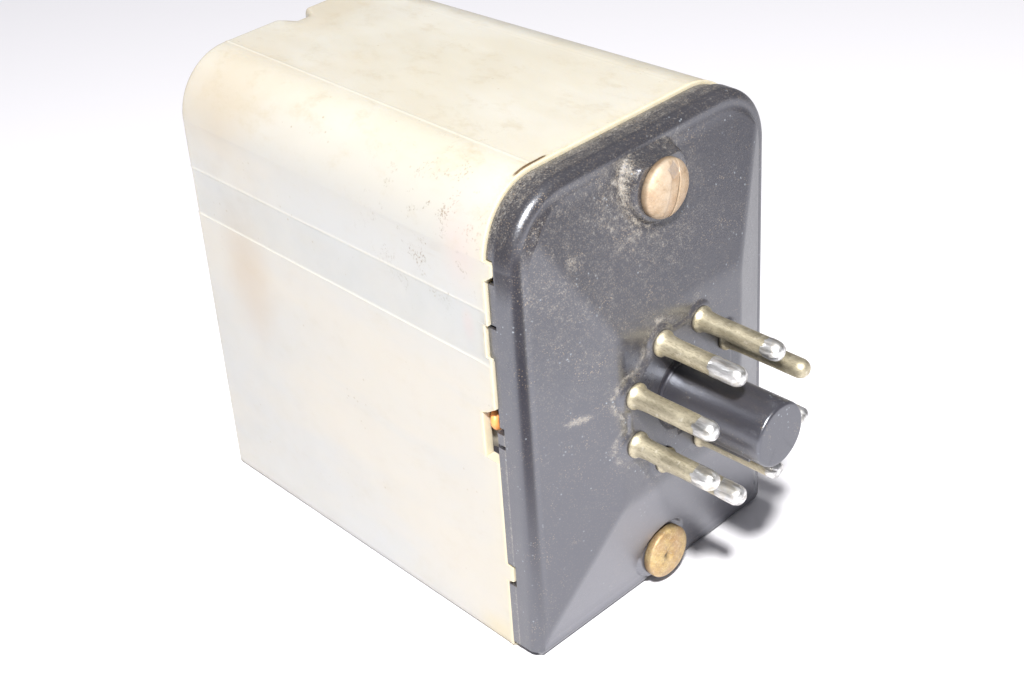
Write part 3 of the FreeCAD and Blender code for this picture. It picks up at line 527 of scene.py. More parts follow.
def mat_screw(name, c0, c1, dust_amount):
    m = Mat(name, c0, 0.5, metal=0.5, ior=1.5)
    patch = m.noise(420, 4.0, 0.65)
    fine = m.noise(4200, 3.0, 0.7)
    c = m.mix(m.band(patch, 0.3, 0.7), c0, c1)
    c = m.mix(m.band(m.noise(1100, 4.0, 0.7), 0.50, 0.68, 0.0, 0.55), c, (0.27, 0.175, 0.095))
    c = m.mix(m.band(fine, 0.53, 0.66, 0.0, 0.55), c, (0.24, 0.165, 0.10))
    c = m.mix(m.band(fine, 0.47, 0.36, 0.0, 0.40), c, (0.66, 0.58, 0.48))
    d = m.math("MULTIPLY", m.math("ADD", m.attr("dust"), m.math("MULTIPLY", m.math("SUBTRACT", fine, 0.5), 1.6)), dust_amount, clamp=True)
    c = m.mix(d, c, (0.53, 0.455, 0.365))
    # painted shade on the head rim, its side, the slot wall and the dimple, together with some specks of dirt
    c = m.mix(m.attr("shade_and_specks"), c, (0.07, 0.055, 0.04))
    c = m.mix(m.attr("grey"), c, (0.34, 0.31, 0.30))
    m.color(c)
    m.put(m.b, "Metallic", m.math("SUBTRACT", 0.62, m.math("MULTIPLY", d, 0.6), clamp=True))
    m.rough(m.band(patch, 0.25, 0.75, 0.48, 0.66))
    m.normal(m.bump(fine, 0.22, 0.00005))
    return m.m


def mat_metal(name, c0, c1, rough0, rough1, scale=500.0, brushed=(1, 1, 1), bump=0.15):
    m = Mat(name, c0, rough0, metal=1.0, ior=1.8)
    patch = m.noise(scale * 0.3, 4.0, 0.6)
    grain = m.noise(scale * 5.0, 3.0, 0.6, vec=m.scaled(*brushed))
    m.color(m.mix(m.math("MULTIPLY", m.band(patch, 0.3, 0.7), m.band(grain, 0.2, 0.9, 0.6, 1.0)), c0, c1))
    m.rough(m.band(m.math("ADD", m.math("MULTIPLY", patch, 0.6), m.math("MULTIPLY", grain, 0.4)), 0.3, 0.7, rough0, rough1))
    m.normal(m.bump(grain, bump, 0.00004))
    return m.m


def mat_plain(name, c0, c1, rough0, rough1, scale=300.0, ior=1.5, bump=0.2, speck=None, **extra):
    m = Mat(name, c0, rough0, ior=ior, **extra)
    patch = m.noise(scale * 0.25, 4.0, 0.6)
    grain = m.noise(scale * 4.0, 3.0, 0.65)
    c = m.mix(m.band(patch, 0.3, 0.7), c0, c1)
    if speck:
        c = m.mix(m.band(grain, 0.58, 0.72, 0.0, 0.6), c, speck)
    m.color(c)
    m.rough(m.band(patch, 0.3, 0.7, rough0, rough1))
    m.normal(m.bump(m.math("ADD", grain, m.math("MULTIPLY", patch, 0.5)), bump, 0.00005))
    return m.m


def mat_tape():
    m = Mat("coil_tape", (0.62, 0.42, 0.13), 0.3, ior=1.5, Coat_Weight=0.25, Coat_Roughness=0.2)
    weave = m.math("MULTIPLY", m.wave(520, direction="Y", dist=0.3), m.wave(520, direction="Z", dist=0.3))
    patch = m.noise(120, 4.0, 0.6)
    c = m.mix(m.band(patch, 0.3, 0.7), (0.55, 0.35, 0.10), (0.70, 0.50, 0.20))
    m.color(m.mix(m.band(weave, 0.2, 0.8, 0.0, 0.35), c, (0.80, 0.66, 0.38)))
    m.rough(m.band(patch, 0.3, 0.7, 0.26, 0.42))
    m.normal(m.bump(weave, 0.2, 0.00006))
    return m.m


def mat_braid():
    m = Mat("braid_copper", (0.62, 0.30, 0.14), 0.36, metal=1.0, ior=1.5)
    a = m.wave(2600, vec=m.scaled(1.0, 1.0, 1.0), direction="DIAGONAL", dist=1.2, detail=2.0)
    b = m.wave(2600, vec=m.scaled(-1.0, 1.0, 1.0), direction="DIAGONAL", dist=1.2, detail=2.0)
    w = m.math("MAXIMUM", a, b)
    m.color(m.mix(m.band(w, 0.4, 0.95), (0.30, 0.13, 0.06), (0.80, 0.42, 0.22)))
    m.rough(m.band(w, 0.2, 0.9, 0.5, 0.3))
    m.normal(m.bump(w, 0.5, 0.00008))
    return m.m


M = {
    "phenolic_black": mat_phenolic(),
    "nylon_milky": mat_nylon(),
    "pin_nickel": mat_pin(),
    "screw_copper": mat_screw("screw_copper", (0.43, 0.28, 0.165), (0.53, 0.39, 0.25), 0.6),
    "screw_brass": mat_screw("screw_brass", (0.42, 0.255, 0.105), (0.58, 0.43, 0.19), 0.3),
    "plated_steel": mat_metal("plated_steel", (0.60, 0.58, 0.54), (0.74, 0.72, 0.68), 0.26, 0.42, brushed=(1, 0.12, 1)),
    "core_iron": mat_metal("core_iron", (0.46, 0.45, 0.44), (0.62, 0.61, 0.60), 0.28, 0.5),
    "bobbin_nylon": mat_plain("bobbin_nylon", (0.72, 0.69, 0.60), (0.80, 0.77, 0.70), 0.38, 0.55, Subsurface_Weight=0.1, Subsurface_Scale=0.002),
    "enamelled_wire": mat_metal("enamelled_wire", (0.55, 0.16, 0.05), (0.80, 0.30, 0.10), 0.2, 0.34, scale=900.0),
    "coil_tape": mat_tape(),
    "phenolic_brown": mat_plain("phenolic_brown", (0.20, 0.085, 0.035), (0.30, 0.14, 0.06), 0.32, 0.5, speck=(0.40, 0.22, 0.11)),
    "contact_brass": mat_metal("contact_brass", (0.70, 0.50, 0.22), (0.82, 0.64, 0.34), 0.24, 0.4, brushed=(1, 0.15, 1)),
    "blade_bronze": mat_metal("blade_bronze", (0.70, 0.46, 0.26), (0.82, 0.60, 0.38), 0.22, 0.36, brushed=(1, 0.15, 1)),
    "contact_silver": mat_metal("contact_silver", (0.78, 0.77, 0.74), (0.92, 0.91, 0.89), 0.2, 0.38),
    "spring_steel": mat_metal("spring_steel", (0.56, 0.55, 0.52), (0.72, 0.71, 0.69), 0.22, 0.34, scale=900.0),
    "wire_blue": mat_plain("wire_blue", (0.03, 0.08, 0.30), (0.05, 0.13, 0.42), 0.34, 0.48, Subsurface_Weight=0.05, Subsurface_Scale=0.001),
    "wire_white": mat_plain("wire_white", (0.74, 0.72, 0.66), (0.84, 0.82, 0.77), 0.34, 0.48),
    "wire_orange": mat_plain("wire_orange", (0.72, 0.24, 0.05), (0.86, 0.36, 0.12), 0.3, 0.42),
    "braid_copper": mat_braid(),
    "fibre_grey": mat_plain("fibre_grey", (0.38, 0.35, 0.29), (0.48, 0.445, 0.38), 0.5, 0.7, speck=(0.45, 0.36, 0.26)),
    "solder": mat_metal("solder", (0.62, 0.62, 0.62), (0.84, 0.84, 0.85), 0.22, 0.42, scale=900.0, bump=0.4),
}


def dress(ob, key):
    ob.data.materials.clear()
    ob.data.materials.append(M[key])


# ---------------------------------------------------------------------- camera
def make_camera():
    cam = bpy.data.cameras.new("camera")
    ob = bpy.data.objects.new("camera", cam)
    bpy.context.scene.collection.objects.link(ob)
    cam.sensor_fit = "HORIZONTAL"
    cam.sensor_width = 36.0
    cam.lens = 65.755
    cam.clip_start, cam.clip_end = 0.01, 20.0
    right = Vector((0.7035983, -0.7080073, -0.0606221))
    down = Vector((-0.4154207, -0.3406147, -0.8434496))
    fwd = Vector((0.5765197, 0.6186334, -0.5337768))
    rot = Matrix((right, -down, -fwd)).transposed().to_4x4()
    ob.matrix_world = Matrix.Translation(Vector((-0.1363123, -0.1179666, 0.1213623))) @ rot
    bpy.context.scene.camera = ob


make_camera()


# ------------------------------------------------------------------------ base
TOP_BREAK = math.asin((23.5 - (ZH - RT)) / RT)
SIDE_BREAKS = [-20.3, -17.3, -3.2, -0.62, -0.12, 1.35, 1.8, 3.3, 10.7, 14.85, 15.35, 20.5]


def corner_angles(n, extra=()):
    a = set(np.linspace(0, math.pi / 2, n))
    for e in extra:
        a |= {e - 0.0015, e + 0.0015}
    return np.array(sorted(a))


def spigot_r(th):
    """Radius of the spigot with its key rib, by angle from +X towards +Z."""
    c, s = np.abs(np.cos(th)), -np.sin(th)
    flank = 0.85 / np.maximum(c, 1e-6)
    end = 5.05 / np.maximum(s, 1e-6)
    key = np.where(s > 0.2, smin(np.minimum(flank, 40.0), np.minimum(end, 40.0), 0.25), 0.0)
    return smax(np.full_like(th, 3.95), key, 0.12)


BOSS = [(PINS[k][0], PINS[k][1]) for k in range(1, 9)]
UZ, LZ = SCREWS["upper_base_screw"][0], SCREWS["lower_base_screw"][0]


def boss_distance(x, z):
    d = np.hypot(x, z) - 9.3
    for cx, cz in BOSS:
        d = smin(d, np.hypot(x - cx, z - cz) - 2.35, 0.5)
    return d


def face_height(x, z):
    """Height of the moulded front above y = 0, in millimetres (negative towards the rim)."""
    hx = -RIM + (20.2 - np.abs(x)) * np.where(x > 0, 0.50, 0.4346)
    ht = -RIM + (29.04 - z) * 0.2534
    hb = -RIM + (z + 28.36) * 0.2634
    f = smin(smin(hx, ht, 0.42), smin(hx, hb, 0.42), 0.1)
    f = smin(f, np.full_like(f, -0.35), 0.3)
    f = smax(f, np.full_like(f, -RIM), 0.4)
    d = boss_distance(x, z)
    R = 0.8
    u = np.clip(d + R, 0, None)
    top = np.where(u < R, -(R - np.sqrt(np.maximum(R * R - u * u, 0))), -R - (u - R) * 4.0)
    f = smax(f, top, 0.25)
    # raised seat of the upper screw
    ru = np.hypot(x, z - UZ)
    u = np.clip(ru - 4.5 + 0.45, 0, None)
    pad = np.where(u < 0.45, -2.55 - (0.45 - np.sqrt(np.maximum(0.2025 - u * u, 0))), -3.0 - (u - 0.45) * 3.0)
    f = smax(f, pad, 0.3)
    # seat of the lower screw, sunk into the slope on its inner side
    rl = np.hypot(x, z - LZ)
    u = np.clip(rl - 4.1 + 0.3, 0, None)
    pad = np.where(u < 0.3, -3.75 - (0.3 - np.sqrt(np.maximum(0.09 - u * u, 0))), -4.05 - (u - 0.3) * 3.5)
    f = smax(f, pad, 0.25)
    sink = -3.75 + np.maximum(rl - 3.9, 0) * 4.0
    f = smin(f, sink, 0.12)
    return f


def face_dust(x, z):
    """Where dust lies on the front: seams, boss edges, round the upper screw, upper slope."""
    d = boss_distance(x, z)
    n = 0.5 + 0.5 * vnoise(x * 0.9 + 40, z * 0.9 + 40, 5)
    n2 = 0.5 + 0.5 * vnoise(x * 2.7 + 40, z * 2.7 + 40, 6)
    ru = np.hypot(x, z - UZ)
    ang = np.arctan2(z - UZ, x)
    side = 0.5 + 0.5 * np.cos(ang - 2.45)
    out = 0.10 + 0.08 * n + 0.05 * n2
    out = out + step01(z, -2, 22) * (0.07 + 0.13 * n2) * step01(-x, -16, 4)
    out = out + (0.10 + 0.90 * side ** 1.5) * 0.52 * bell(ru - 4.85, 0.30) * (0.5 + 0.5 * n2)
    out = out + (0.06 + 0.16 * side) * bell(ru - 5.4, 0.7) * n2
    out = out + (0.08 + 0.12 * side) * bell(ru - 6.6, 2.2) * n
    left = 0.2 + 0.8 * step01(-x + 0.35 * z, -4, 8)
    out = out + left * 0.45 * bell(d - 0.55, 0.35) * n2
    out = out + left * 0.22 * bell(d - 0.3, 1.1) * n
    # rubbed mark on the left slope
    a = (x + 14.6) * 0.998 + (z - 2.3) * 0.06
    b = -(x + 14.6) * 0.06 + (z - 2.3) * 0.998
    out = out + 0.95 * bell(a, 1.35) * bell(b, 0.46) * (0.55 + 0.45 * n2)
    out = out + 0.30 * bell(np.hypot(x + 14.0, z - 22.0), 0.7)
    out = out - 0.05 * step01(-z, 6, 18)
    return np.clip(out, 0.0, 1.0)


def lower_slope(x, z):
    """One on the slope that faces down, zero elsewhere."""
    hx = -RIM + (20.2 - np.abs(x)) * np.where(x > 0, 0.50, 0.4346)
    hb = -RIM + (z + 28.36) * 0.2634
    return step01(hx - hb, -0.25, 0.5) * (1 - step01(hb, -0.9, -0.2))


def build_base():
    zones = [(20.4, 23.0, 0.2)]
    side = fill(ZL + RL, ZH - RT, SIDE_BREAKS, 0.32, zones)
    bottom = fill(-(HW - RL), HW - RL, [], 0.30)
    top = fill(-(HW - RT), HW - RT, [], 0.27)
    o = Outline(bottom, side, top, corner_angles(46, (TOP_BREAK,)), corner_angles(9))
    x0, z0 = o.at(0.0)
    n = o.n
    side_m = (o.k == 2) | (o.k == 6)
    corner = (o.k == 3) | (o.k == 5)
    on_side = side_m | (corner & (z0 < 23.5))
    snap = on_side & (z0 > 20.5) & (z0 < 23.5)
    low = side_m & (z0 > -20.3) & (z0 < -17.3)
    slot_u = side_m & (z0 > 14.85) & (z0 < 15.35)
    slot_l = side_m & (z0 > 1.35) & (z0 < 1.8)
    nick = side_m & (z0 > -0.62) & (z0 < -0.12)
    win = side_m & (z0 > -3.2) & (z0 < 3.3)
    upper = (z0 > 1.35) & (side_m | corner | (o.k == 4))
    top_zone = (z0 > 10.7)

    th = np.arctan2(z0, x0)
    rs = spigot_r(th)
    ux, uz = np.cos(th), np.sin(th)

    rows = []
    round_end = 3.95
    rp = np.full(n, round_end)
    # flat end of the spigot, its rounded edge, the plain length and the key
    for r in (0.5, 1.5, 2.6, 3.3):
        rows.append(np.stack([ux * r, np.full(n, SPIGOT_END), uz * r], 1))
    R = 0.42
    for a in np.linspace(0, math.pi / 2, 7):
        rows.append(np.stack([ux * (rp - R + R * math.sin(a)), np.full(n, SPIGOT_END + R - R * math.cos(a)), uz * (rp - R + R * math.sin(a))], 1))
    for y in (-12.6, -11.2, -10.62):
        rows.append(np.stack([ux * rp, np.full(n, y), uz * rp], 1))
    q = np.maximum(rs - 3.95, 0)
    for y, w in ((-10.52, 0.0), (-10.47, 0.85), (-10.42, 0.97), (-10.28, 1.0), (-8.0, 1.0), (-5.0, 1.0), (-2.0, 1.0), (-0.45, 1.0)):
        r = 3.95 + q * w
        rows.append(np.stack([ux * r, np.full(n, y), uz * r], 1))
    for a in np.linspace(0.25, math.pi / 2, 5):
        r = rs + 0.4 - 0.4 * math.cos(a)
        rows.append(np.stack([ux * r, np.full(n, -0.4 + 0.4 * math.sin(a)), uz * r], 1))
    n_plug = len(rows)

    # front face: rings that change from the spigot's outline to the rim's
    xi, zi = ux * (rs + 0.4), uz * (rs + 0.4)
    xo, zo = o.at(1.36)
    steps = 168
    under = np.clip(-(0.45 * ux + 0.89 * uz), 0, 1) ** 2
    dust_rows = [np.full(n, 0.06)] * (n_plug - 17) + [0.06 + 0.34 * under] * 17
    painted_floor_sheen_rows = [np.zeros(n)] * n_plug
    reflection_shade_rows = []
    for i in range(1, steps + 1):
        t = i / steps
        x, z = xi + (xo - xi) * t, zi + (zo - zi) * t
        h = face_height(x, z)
        h = np.where(t < 0.04, np.minimum(h, 0.0) * t / 0.04, h)
        w = step01(t, 0.962, 0.998)
        h = h * (1 - w) - RIM * w
        rows.append(np.stack([x, -h, z], 1))
        dust_rows.append(face_dust(x, z))
        # mask for the painted floor reflection on the slope that faces down
        painted_floor_sheen_rows.append(lower_slope(x, z))
        # painted shade on the reflections round the upper screw seat and on the upper left slope
        ru = np.hypot(x, z - UZ)
        reflection_shade = 0.85 * bell(ru - 4.75, 0.75) * step01(-x, -2.0, 2.5)
        reflection_shade_rows.append(np.maximum(reflection_shade, 0.24 * step01(-x, 9.5, 15.5) * step01(z, 3, 17)))
    n_face = len(rows)

    def add(y, d, dust=0.14):
        r = o.row(y, d)
        rows.append(r)
        dust_rows.append(np.broadcast_to(np.asarray(dust, float), (n,)))

    # rounded front edge of the rim
    R = 1.3
    edge_dust = 0.10 + 0.12 * step01(z0, 5, 30)
    for a in np.linspace(0.12, math.pi / 2, 9):
        add(RIM + R - R * math.cos(a), R - R * math.sin(a), edge_dust)
    band_dust = 0.14 + 0.24 * step01(z0, 22, 31) + 0.06 * vnoise(z0 * 0.8 + 30, x0 * 0.8 + 30, 9)
    add(6.5, 0.0, band_dust)
    add(7.4, 0.0, band_dust)
    notch = snap | low
    deep = np.where(notch, 1.5, 0.0)
    y1 = 7.74
    add(y1 - 0.05, 0.0, band_dust)
    add(y1, np.where(notch, 0.05, 0.0), band_dust)
    add(y1 + 0.005, deep, band_dust)
    inset = np.where(upper, 0.42, 0.0)
    cut = np.where(slot_u | slot_l, 1.0, np.where(nick, 0.5, 0.0))
    d1 = np.maximum(deep, 0.0)
    add(7.80, d1, band_dust + 0.25)
    d2 = np.maximum(np.maximum(deep, inset * 0.4), cut)
    add(7.86, d2, band_dust + 0.45)
    d3 = np.maximum(np.maximum(deep, inset), cut)
    add(7.90, d3, band_dust + 0.45)
    add(8.10, d3, band_dust + 0.10)
    y_band = np.where(top_zone, 9.45, 9.0)
    y_band = np.where(side_m & (z0 > 15.35), 9.15, y_band)
    y_band = np.where(corner, 9.15 + 0.3 * step01(np.degrees(o.u), 10, 70), y_band)
    y_band = np.where(side_m & (z0 > 10.7) & (z0 < 15.35), 9.62, y_band)
    cut2 = np.where(nick, 0.0, cut)
    d4 = np.maximum(np.maximum(deep, inset), cut2)
    add(8.85, np.maximum(d4, np.where(nick, 0.2, 0)), band_dust + 0.1)
    add(y_band - 0.08, d4, band_dust + 0.15)
    add(y_band, d4 + 0.06, band_dust + 0.3)
    skirt = 1.62
    gap = np.where(win, 0.9, skirt)
    add(y_band + 0.02, np.maximum(gap, d4 + 0.1), 0.1)
    y_skirt = np.where(win, 9.3, SKIRT_END)
    add(np.where(win, 9.29, SKIRT_END - 0.35), np.where(win, 1.0, skirt), 0.1)
    for a in (0.5, 1.1, math.pi / 2):
        add(y_skirt - 0.3 + 0.3 * math.sin(a), np.where(win, 1.1, skirt) + 0.3 - 0.3 * math.cos(a), 0.1)

    # inner side: flat back, then the wiring recess with its bulge for the core screw
    xs, zs = o.at(np.where(win, 1.4, skirt + 0.3))
    hx, hz = 16.5, 13.0
    rr = np.minimum(hx / np.maximum(np.abs(ux), 1e-6), hz / np.maximum(np.abs(uz), 1e-6))
    zc = -12.0
    b = uz * zc
    disc = np.maximum(16.0 - (zc * zc - b * b), 0)
    rc = np.where((uz < 0) & (disc > 0), b + np.sqrt(disc), 0)
    rout = np.maximum(rr, rc)
    for t in (0.25, 0.5, 0.75, 0.93):
        r = np.hypot(xs, zs)
        q = r + (rout + 0.25 - r) * t
        rows.append(np.stack([ux * q, y_skirt, uz * q], 1))
        dust_rows.append(np.full(n, 0.08))
    floor_out = np.where(rc > rr + 1e-6, 9.4, 7.0)
    for r, y in ((rout + 0.15, y_skirt), (rout + 0.04, y_skirt - 0.04), (rout, y_skirt - 0.15), (rout, floor_out + 0.2), (rout - 0.06, floor_out + 0.05),
                 (np.where(rc > rr + 0.3, rout - 0.2, rout - 0.2), floor_out), (np.maximum(rr, 0) - 0.2 + 0.0, floor_out), (rr - 0.22, np.full(n, 7.0)),
                 (rr * 0.8, np.full(n, 7.0)), (rr * 0.6, np.full(n, 7.0)), (rr * 0.4, np.full(n, 7.0)), (rr * 0.2, np.full(n, 7.0))):
        rows.append(np.stack([ux * r, np.broadcast_to(y, (n,)), uz * r], 1))
        dust_rows.append(np.full(n, 0.06))
    bld = Builder()
    bld.rows(rows, pole0=(0, SPIGOT_END, 0), pole1=(0, 7.0, 0))
    painted_floor_sheen = np.concatenate([[0.0]] + painted_floor_sheen_rows)
    painted_floor_sheen = np.concatenate([painted_floor_sheen, np.zeros(len(bld.verts()) - len(painted_floor_sheen))])
    dust = np.concatenate([[0.1]] + [np.asarray(r) for r in dust_rows] + [[0.06]])
    # painted shade on the reflections, carried by the shade attribute as a darker specular tint: the left front edge,
    # round the upper screw seat, the upper left slope, a second streak at the top left corner, the spigot root and a
    # spot at that corner
    shade = np.zeros((len(rows), n))
    low_end = np.where(side_m, 0.15 * step01(z0, -29, -20) + 0.85 * step01(z0, -24, 4), 1.0)
    arc = np.where(o.k == 5, 1 - step01(np.degrees(o.u), 8, 34), 1.0)
    left = ((o.k == 6) | (o.k == 5)) * low_end * arc
    weights = {-3: 0.08, -2: 0.22, -1: 0.5, 0: 0.9, 1: 1.0, 2: 1.0, 3: 1.0, 4: 0.85, 5: 0.35, 6: 0.08, 7: 0.0}
    for i, d in enumerate(reflection_shade_rows):
        shade[n_plug + i] = d
    for i, w in weights.items():
        shade[n_face + i] = w * left
    # painted shade over a second highlight streak at the top left corner
    second = (o.k == 5) * bell(np.degrees(o.u) - 40, 34)
    for i in range(-7, 0):
        shade[n_face + i] = np.maximum(shade[n_face + i], 0.85 * second)
    # painted shade over the highlight on the spigot's root fillet
    shade[n_plug - 5:n_plug + 3] = 0.85
    # painted shade: a spot at the top left corner and high on the left side
    spot = (o.k == 5) * bell(np.degrees(o.u) - 12, 16) + side_m * (x0 < 0) * step01(z0, 18, 22.2)
    for i in range(n_face + 5, n_face + 11):
        shade[i] = np.maximum(shade[i], 0.9 * spot)
    shade = np.concatenate([[0.0], shade.ravel(), [0.0]])
    ob = make("base_shell", bld.verts(), bld.f, sharp=None, attrs={"dust": np.clip(dust, 0, 1), "shade": np.clip(shade, 0, 1), "painted_floor_sheen": painted_floor_sheen})
    orient(ob)
    me = ob.data
    me.set_sharp_from_angle(angle=math.radians(38))
    # the modelled front keeps its own soft shading
    a, c = 1, 1 + n * n_face
    ev = np.zeros(len(me.edges) * 2, np.int32)
    me.edges.foreach_get("vertices", ev)
    ev = ev.reshape(-1, 2)
    inside = ((ev >= a) & (ev < c)).all(1)
    sh = me.attributes.get("sharp_edge")
    if sh is not None:
        flags = np.zeros(len(me.edges), bool)
        sh.data.foreach_get("value", flags)
        flags[inside] = False
        sh.data.foreach_set("value", flags)
    dress(ob, "phenolic_black")
    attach(ob, "base_unit")
    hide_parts("base")
    return ob


build_base()


# ----------------------------------------------------------------------- cover
def channel(x):
    """Depth of the hold-down channel across the closed end."""
    w = np.abs(x)
    t = np.clip((w - 0.9) / 1.9, 0, 1)
    return 2.35 * (0.5 + 0.5 * np.cos(math.pi * t))


COVER_LINES = (9.94, 16.84)


def cover_edge(o, x, z):
    """Where the open edge of the cover lies, round the outline."""
    side = (o.k == 2) | (o.k == 6)
    corner = (o.k == 3) | (o.k == 5)
    e = np.full(o.n, 9.05)
    e = np.where(o.k == 4, 9.52, e)
    e = np.where(corner, 9.22 + 0.30 * step01(np.degrees(o.u), 10, 70), e)
    e = np.where(side & (z > 15.2), 9.22, e)
    e = np.where(side & (z <= 15.2) & (z > 10.93), 9.72, e)
    # tab that drops into the base's upper notch
    zz = z
    tab = np.interp(zz, [20.78, 21.78, 23.22, 23.24], [9.22, 7.95, 7.92, 9.22])
    sidec = side | (corner & (z < 23.6))
    e = np.where(sidec & (zz > 20.78) & (zz < 23.23), np.minimum(e, tab), e)
    low = np.interp(zz, [-20.0, -19.8, -17.8, -17.6], [9.05, 8.15, 8.15, 9.05])
    e = np.where(side & (zz > -20.0) & (zz < -17.6), np.minimum(e, low), e)
    win = np.interp(zz, [-3.07, -3.05, 2.95, 3.1, 3.5, 4.3], [9.05, 11.25, 11.3, 11.2, 10.2, 9.08])
    e = np.where(side & (zz > -3.07) & (zz < 4.3), win, e)
    return e


def build_cover():
    breaks = [-20.0, -17.6, -3.06, 10.93, 15.2]
    zones = [(20.6, 23.0, 0.12), (-20.4, -17.2, 0.2), (2.8, 4.6, 0.15), (9.3, 10.6, 0.12), (16.2, 17.5, 0.12)]
    side = fill(ZL + RL, ZH - RT, breaks, 0.45, zones)
    bottom = fill(-(HW - RL), HW - RL, [], 0.5, [(-3.4, 3.4, 0.2)])
    top = fill(-(HW - RT), HW - RT, [], 0.4, [(-3.4, 3.4, 0.2), (-12.75, -12.0, 0.15), (12.0, 12.75, 0.15)])
    tab_top = math.asin((23.23 - (ZH - RT)) / RT)
    o = Outline(bottom, side, top, corner_angles(40, (tab_top,)), corner_angles(8))
    n = o.n
    x0, z0 = o.at(0.0)
    e = cover_edge(o, x0, z0)
    side_m = (o.k == 2) | (o.k == 6)
    length = COVER_END - EDGE

    def outer(y, d):
        y = np.broadcast_to(np.asarray(y, float), (n,))
        s = np.clip((y - EDGE) / length, 0.0, 1.0)
        x, z = o.at(d, hw=HW - 0.0386 * length * s - 0.004, zh=ZH - 0.0148 * length * s - 0.004, rt=RT - 0.4 * s, rl=0.55)
        shift = np.interp(z0, [0.0, 9.94, 16.84, 22.0], [0.0, -0.6, -1.0, 0.0]) * s
        z = np.where(side_m, z + shift, z)
        return x, z, y

    line = np.zeros(n)
    for zl in COVER_LINES:
        line = np.maximum(line, np.where(side_m, bell(z0 - zl, 0.16), 0))
    fold = np.where(o.k == 4, bell(o.u + 12.45, 0.16) + 0.25 * bell(o.u - 12.45, 0.16), 0)
    panel = np.where(side_m & (z0 > COVER_LINES[0]) & (z0 < COVER_LINES[1]), 1.0, 0.0)
    relief = np.where(side_m, 0.07, 0.0) + 0.05 * panel - 0.07 * line
    relief = np.where(o.k == 4, 0.05 - 0.05 * fold, relief)
    relief = np.where((o.k == 3) | (o.k == 5), 0.05, relief)
    relief = np.where((o.k == 0) | (o.k == 1) | (o.k == 7), 0.02, relief)

    rows, A = [], {"line": [], "edge": [], "panel": [], "stain_and_gap_shade": []}

    def add(x, y, z, lin=0.0, edg=0.0, pan=0.0, marks_and_gap_shade=0.0):
        rows.append(np.stack([x, np.broadcast_to(np.asarray(y, float), (n,)), z], 1))
        for key, val in (("line", lin), ("edge", edg), ("panel", pan), ("stain_and_gap_shade", marks_and_gap_shade)):
            A[key].append(np.broadcast_to(np.asarray(val, float), (n,)))

    cz = ZC
    wall = 1.3
    # inside: closed end, then the walls towards the open edge
    xi, zi, _ = outer(COVER_END - wall, wall + 0.5)
    for t in np.linspace(0.08, 1.0, 16):
        x, z = xi * t, cz + (zi - cz) * t
        add(x, COVER_END - wall - channel(x), z)
    yin = COVER_END - wall - channel(xi)
    for a in (0.5, 1.0, math.pi / 2):
        x, z, _ = outer(yin, wall + 0.5 - 0.5 * math.sin(a))
        add(x, yin - 0.5 + 0.5 * math.cos(a), z)
    for t in (0.12, 0.3, 0.5, 0.7, 0.85, 0.95, 0.985):
        y = (yin - 0.5) + (e + 0.3 - (yin - 0.5)) * t
        x, z, yy = outer(y, wall)
        add(x, yy, z)
    for y, d in ((e + 0.12, wall), (e + 0.03, wall - 0.05), (e, wall - 0.14), (e, 0.8), (e, 0.4), (e, 0.16), (e + 0.03, 0.06), (e + 0.09, 0.01)):
        x, z, yy = outer(y, d)
        add(x, yy, z, edg=0.8)
    # outside
    e2 = e + 0.12
    near = COVER_END - 1.1
    ts = np.concatenate([[0.0, 0.004, 0.009, 0.014, 0.02], np.linspace(0.03, 0.12, 5), np.linspace(0.16, 1.0, 34)])
    ych = channel(x0 * 0.9) * ((o.k == 4) | (o.k == 0))
    y_last = near - ych
    for t in ts:
        y = e2 + (y_last - e2) * t
        s = np.clip((y - EDGE) / length, 0, 1)
        x, z, yy = outer(y, relief * min(1.0, t * 60))
        wob = 0.05 * vnoise(yy * 0.09 + 20, z * 0.11 + x * 0.07 + 20, 21)
        x = np.where(side_m, x - np.sign(x) * np.abs(wob) * min(1, t * 8), x)
        z = np.where(o.k == 4, z - np.abs(wob) * min(1, t * 8), z)
        dist = yy - e
        edg = np.clip(1.0 - dist / 0.55, 0, 1) * 0.9 + 0.25 * bell(dist, 2.0)
        marks_and_gap_shade = np.zeros(n)
        lft = o.k == 6
        # handling marks and dirt on the left side and the upper edge, and painted shade of the gap along the top left
        # edge
        marks_and_gap_shade = marks_and_gap_shade + np.where(lft, 0.28 * bell(np.hypot(yy - 56.0, (z - 16.0) * 1.0), 4.5) * (0.5 + 0.5 * vnoise(yy + 9, z * 1.3 + 40, 31)), 0)
        marks_and_gap_shade = marks_and_gap_shade + np.where(lft | (o.k == 5), 0.55 * np.clip(vnoise(yy * 1.1 + 50, z * 2.3 + 50, 33) - 0.55, 0, 1) * bell(yy - 20, 9) * bell(z - 24, 7), 0)
        marks_and_gap_shade = marks_and_gap_shade + 0.5 * bell(dist, 0.5) * np.clip(vnoise(z * 2.1 + x + 60, yy * 0.3 + 60, 35), 0, 1) * (z > 3)
